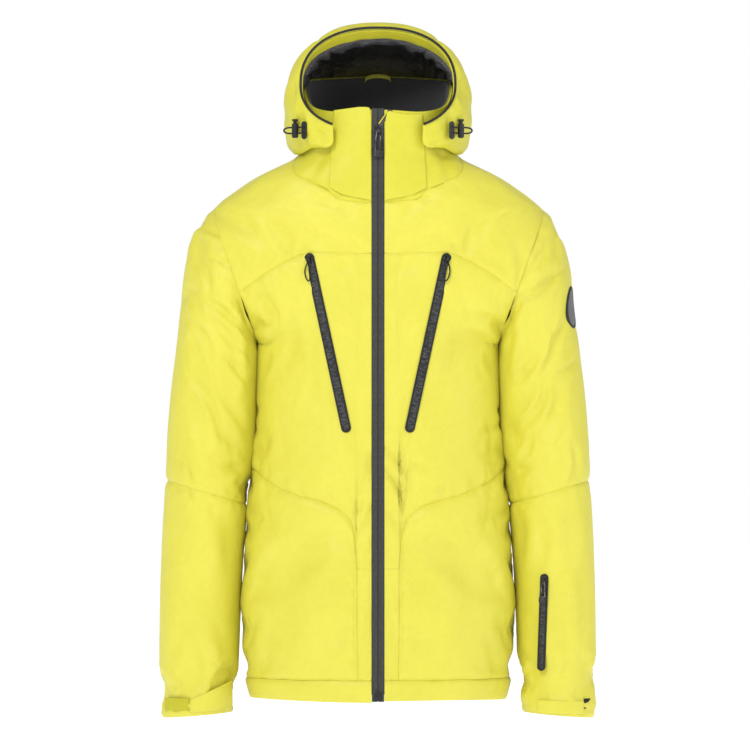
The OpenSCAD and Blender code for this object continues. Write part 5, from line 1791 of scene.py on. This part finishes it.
def add_cuffs():
    """Straps of shell cloth over patches of hook tape, on the front of both cuffs."""
    cuff_piece("strap_cloth_left", (222, -892, -873, 283, -893, -875), 1.7, 2.0, SHELL, 1,
               "cuff_strap_left", "cuff_strap_left", strap_waves)
    cuff_piece("strap_cloth_right", (204, -887, -847, 259, -890, -873), 1.7, 2.0, SHELL, -1,
               "cuff_strap_right", "cuff_strap_right", strap_waves)
    patch = cuff_piece("hook_tape_left", (285, -886, -872, 296, -886, -872), 0.4, 0.7, HOOKS_DARK, 1,
                       None, "hook_patch_left", hook_nap, 1.0)
    bend_with_arm(patch)
    patch = cuff_piece("hook_tape_right", (261, -889, -871, 295, -889, -871), 0.4, 0.7, HOOKS, -1,
                       None, "hook_patch_right", hook_nap, 1.2)
    bend_with_arm(patch)


def lining_low(way):
    return HEM_TOP + 5 + 0 * way


def lining_high(way):
    return smooth(NECK_SEAM, way) - 7


def add_body_lining():
    """Black taffeta that hangs behind the wadding, creased, with a deep fold at the middle of the back."""
    ways = 0.1 + 3.8 * spots(1100, 9, False)
    rows = spots(640, 9, False)
    way, z = panel_grid(ways, lining_low, lining_high, rows)
    points, normals = body_surface(way, z)
    crease = np.sin(way * 31 + 2 * np.sin(z / 41)) * 0.8 + np.sin(z / 13.0 + 3 * np.sin(way * 9)) * 0.7
    crease = crease - 1.6 * np.exp(-((way - 2) / 0.02) ** 2)
    obj = slab("body_taffeta", points - normals * (12.6 - 0.8 * crease[..., None]), points - normals * 10.4,
               LINING, lengths_uv(points), False)
    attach(obj, "jacket_body")
    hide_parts("body_lining", "body_wadding", "pocket_bags")


# ---- hood cords and their locks ----

# Cord of the left side: out of the eyelet patch, through the lock, round and back, in mm
HOOD_CORD = [[101, -173, -82], [103, -175, -82], [106, -174.5, -82], [109, -170, -82], [112, -166, -82],
             [114.5, -164, -82], [118, -161.6, -82], [122, -159, -82], [126, -157, -82.5],
             [129, -156, -84], [130, -155.5, -86], [129, -156, -88], [126, -157, -89.5],
             [122, -159, -90], [118, -161.6, -90], [114.5, -164, -90], [112, -166, -90],
             [109, -170, -90], [106, -174.5, -90], [103, -175, -90], [101, -173, -90]]
HOOD_CORD_D = 2.4


def add_hood_cord(side):
    """Elastic cord that loops through the hood's lock and back into the hood."""
    name = SIDE_NAMES[side]
    knots = np.array(HOOD_CORD, float) * [side, 1, 1]
    at = np.arange(len(knots))
    fine = np.linspace(0, len(knots) - 1, 121)
    path = np.stack([smooth(np.stack([at, knots[:, k]], 1).tolist(), fine) for k in range(3)], -1)
    obj = rope("elastic_cord_" + name, path, HOOD_CORD_D / 2, CORD_BLACK, "hood", sides=12)
    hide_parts("hood_cord_" + name)


def repaint(node, look):
    """A rigid CAD node keeps its shape and takes a procedural finish."""
    mesh = frame["nodes"][node].data
    mesh.materials.clear()
    mesh.materials.append(look)


def ring(name, centre, radius, wire, body):
    """A moulded ring round an upright axis."""
    turn = np.linspace(0, 2 * np.pi, 41)[:-1]
    axis = np.array([0.0, 0.0, 1.0])
    first = unit(np.cross(axis, [0.3, 1.0, 0.2]))
    second = np.cross(axis, first)
    line = centre + radius * (np.cos(turn)[:, None] * first + np.sin(turn)[:, None] * second)
    rope(name, line, wire, PLASTIC, body, closed=True)


def add_locks():
    """Barrel locks: the moulded parts of the CAD model, with grip rings and a lipped mouth."""
    for side, name in SIDE_NAMES.items():
        repaint("cord_lock_" + name, PLASTIC)
        repaint("lock_plunger_" + name, PLASTIC)
        low, high = box_mm("cord_lock_" + name)
        centre = (low + high) / 2
        radius = (high[0] - low[0]) / 2
        for k, z in enumerate((low[2] + 2.2, high[2] - 0.8)):
            ring("lock_ring_%s_%d" % (name, k), [centre[0], centre[1], z], radius - 0.15, 0.45, "hood")
        top = box_mm("lock_plunger_" + name)[1][2]
        ring("lock_cap_" + name, [centre[0], centre[1], top - 1.2], radius - 0.5, 0.7,
             "lock_plunger_" + name)
    repaint("lock_springs", STEEL)
    repaint("eyelet_patches", PLASTIC)


# ---- topstitching ----

STITCH_BELOW = 2.8          # how far a row of stitches lies below its seam, in mm
PROUD = 0.1                 # how far the threads stand off the cloth


def at_runs(values, run, where):
    """Rows of values read at running lengths."""
    return np.stack([np.interp(where, run, values[:, k]) for k in range(3)], -1)


def stitches(name, lines, look, body=None, bend=None, stitch=2.7, gap=0.9, radius=0.27):
    """Rows of short threads standing just proud of the cloth; lines are (points, normals)."""
    verts, faces = [], []
    for points, normals in lines:
        run = running(points)
        count = int(run[-1] // (stitch + gap))
        starts = np.arange(count) * (stitch + gap) + gap
        a, b = at_runs(points, run, starts), at_runs(points, run, starts + stitch)
        n = unit(at_runs(normals, run, starts + stitch / 2))
        along = unit(b - a)
        side = np.cross(along, n)
        mid = (a + b) / 2
        first = len(verts)
        block = np.stack([a - n * radius, mid + n * radius, mid + side * radius, mid - n * radius * 1.5,
                          mid - side * radius, b - n * radius], 1)
        verts += block.reshape(-1, 3).tolist()
        for i in range(count):
            o = first + 6 * i
            for p, q in ((1, 2), (2, 3), (3, 4), (4, 1)):
                faces += [(o, o + q, o + p), (o + 5, o + p, o + q)]
    obj = mesh_object(name, verts, faces, look)
    if body:
        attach(obj, body)
    if bend:
        bend(obj)
    return obj


def on_body(way, z, proud=PROUD):
    """A line on the finished body cloth, with its normals."""
    points, normals = body_surface(way, z)
    lift = body_offset(points, way) + proud
    return points + normals * lift[..., None], normals


def mirrored(line):
    """A line of the left side, and the same on the right."""
    return [line, (line[0] * [-1, 1, 1], line[1] * [-1, 1, 1])]


def add_body_stitches():
    ways = np.linspace(0.01, 0.99, 400)
    lines = mirrored(on_body(ways, smooth(YOKE_SEAM, ways) - STITCH_BELOW))
    low = np.linspace(PANEL_STEP + 0.012, 0.99, 300)
    lines += mirrored(on_body(low, smooth(POCKET_SEAM, low) - STITCH_BELOW))
    lines += mirrored(on_body(np.full(80, PANEL_STEP + 0.014), np.linspace(HEM_TOP + 2, -694, 80)))
    lines += mirrored(on_body(np.full(200, 0.008), np.linspace(HEM_TOP + 2, -190, 200)))
    back = np.linspace(1.01, 2.99, 600)
    lines.append(on_body(back, smooth(YOKE_SEAM, half_way(back)) - STITCH_BELOW))
    whole = np.linspace(0.02, 3.98, 1100)
    lines.append(on_body(whole, 0 * whole + HEM_TOP + 2.4))
    lines.append(on_body(whole, 0 * whole + HEM_TOP - 1.6, 0.4))
    stitches("body_topstitch", lines, THREAD, "jacket_body")


def add_sleeve_stitches(side):
    name = SIDE_NAMES[side]
    seams = Seams(sleeve_seams(side))
    lines = []
    for station in (ELBOW_STATION + 0.045, CUFF_STITCH):
        under_strap = side < 0 and station > ELBOW_STATION + 1
        around = np.linspace(165, 432, 300) if under_strap else np.linspace(1, 359, 400)
        points, normals = sleeve_surface(station, -around * side, side)
        lift = sleeve_offset(points, normals, side, seams) + PROUD
        lines.append((points + normals * lift[..., None], normals))
    stitches("sleeve_topstitch_" + name, lines, THREAD, bend=lambda obj: bend_with_arm(obj))


def on_hood(t, angle, seams):
    """A line on the finished hood cloth, with its normals."""
    points, normals = hood_surface(t, angle)
    lift = hood_fold_offset(points) + seams.offset(points, HOOD_SEAM_DEPTH) + PROUD
    return points + normals * lift[..., None], normals


def add_hood_stitches():
    t = np.linspace(0.01, 0.98, 300)
    seams = Seams(hood_seams())
    lines = []
    for angle in (HOOD_SEAM + 1.6, -HOOD_SEAM - 1.6):
        lines.append(on_hood(t, 0 * t + angle, seams))
    lines.append(on_hood(0.055, np.linspace(-145, 145, 300), seams))
    stitches("hood_topstitch", lines, THREAD, bend=bend_with_hood)


# ---- the scene ----

scene.view_settings.view_transform = "Standard"
add_camera()
add_studio()
for cord_side in (1, -1):
    add_hood_cord(cord_side)
add_body_panels()
add_hem()
add_collar()
add_collar_knit()
add_collar_edge()
add_body_lining()
for arm_side in (1, -1):
    add_collar_tab(arm_side)
    add_sleeve(arm_side)
    add_sleeve_lining(arm_side)
    add_sleeve_stitches(arm_side)
add_zip_garage()
add_badge()
add_cuffs()
add_hood_shell()
add_hood_facing()
add_hood_lining()
add_hood_piping()
add_hood_stitches()
add_body_stitches()
add_hanger_loop()
add_main_zip()
add_pocket_zip("chest_zip_left", "chest_zip_cloth_left", "jacket_body", 4.4, 4.0)
add_pocket_zip("chest_zip_right", "chest_zip_cloth_right", "jacket_body", 4.4, 4.0)
add_locks()
add_pocket_zip("sleeve_zip", "sleeve_zip_cloth", "sleeve_left", 3.2)
add_slider("main_zip_slider", "main_slider", "main_slider")
add_slider("chest_zip_slider_left", "chest_slider_left", "chest_slider_left")
add_slider("chest_zip_slider_right", "chest_slider_right", "chest_slider_right")
add_slider("arm_zip_slider", "sleeve_zip_slider", "sleeve_zip_slider")
add_puller("main_pull", "main_puller", "main_puller", "main_puller_swing", "main_slider", CORD, 13, 37, True)
add_puller("chest_pull_left", "chest_puller_left", "chest_puller_left", "chest_puller_swing_left",
           "chest_slider_left", TRIM, 10, 32, False, 4.5)
add_puller("chest_pull_right", "chest_puller_right", "chest_puller_right", "chest_puller_swing_right",
           "chest_slider_right", TRIM, 10, 32, False, -6.5)
add_puller("arm_pull", "sleeve_zip_puller", "sleeve_zip_puller", "sleeve_puller_swing", "sleeve_zip_slider",
           CORD, 9.5, 31, True)
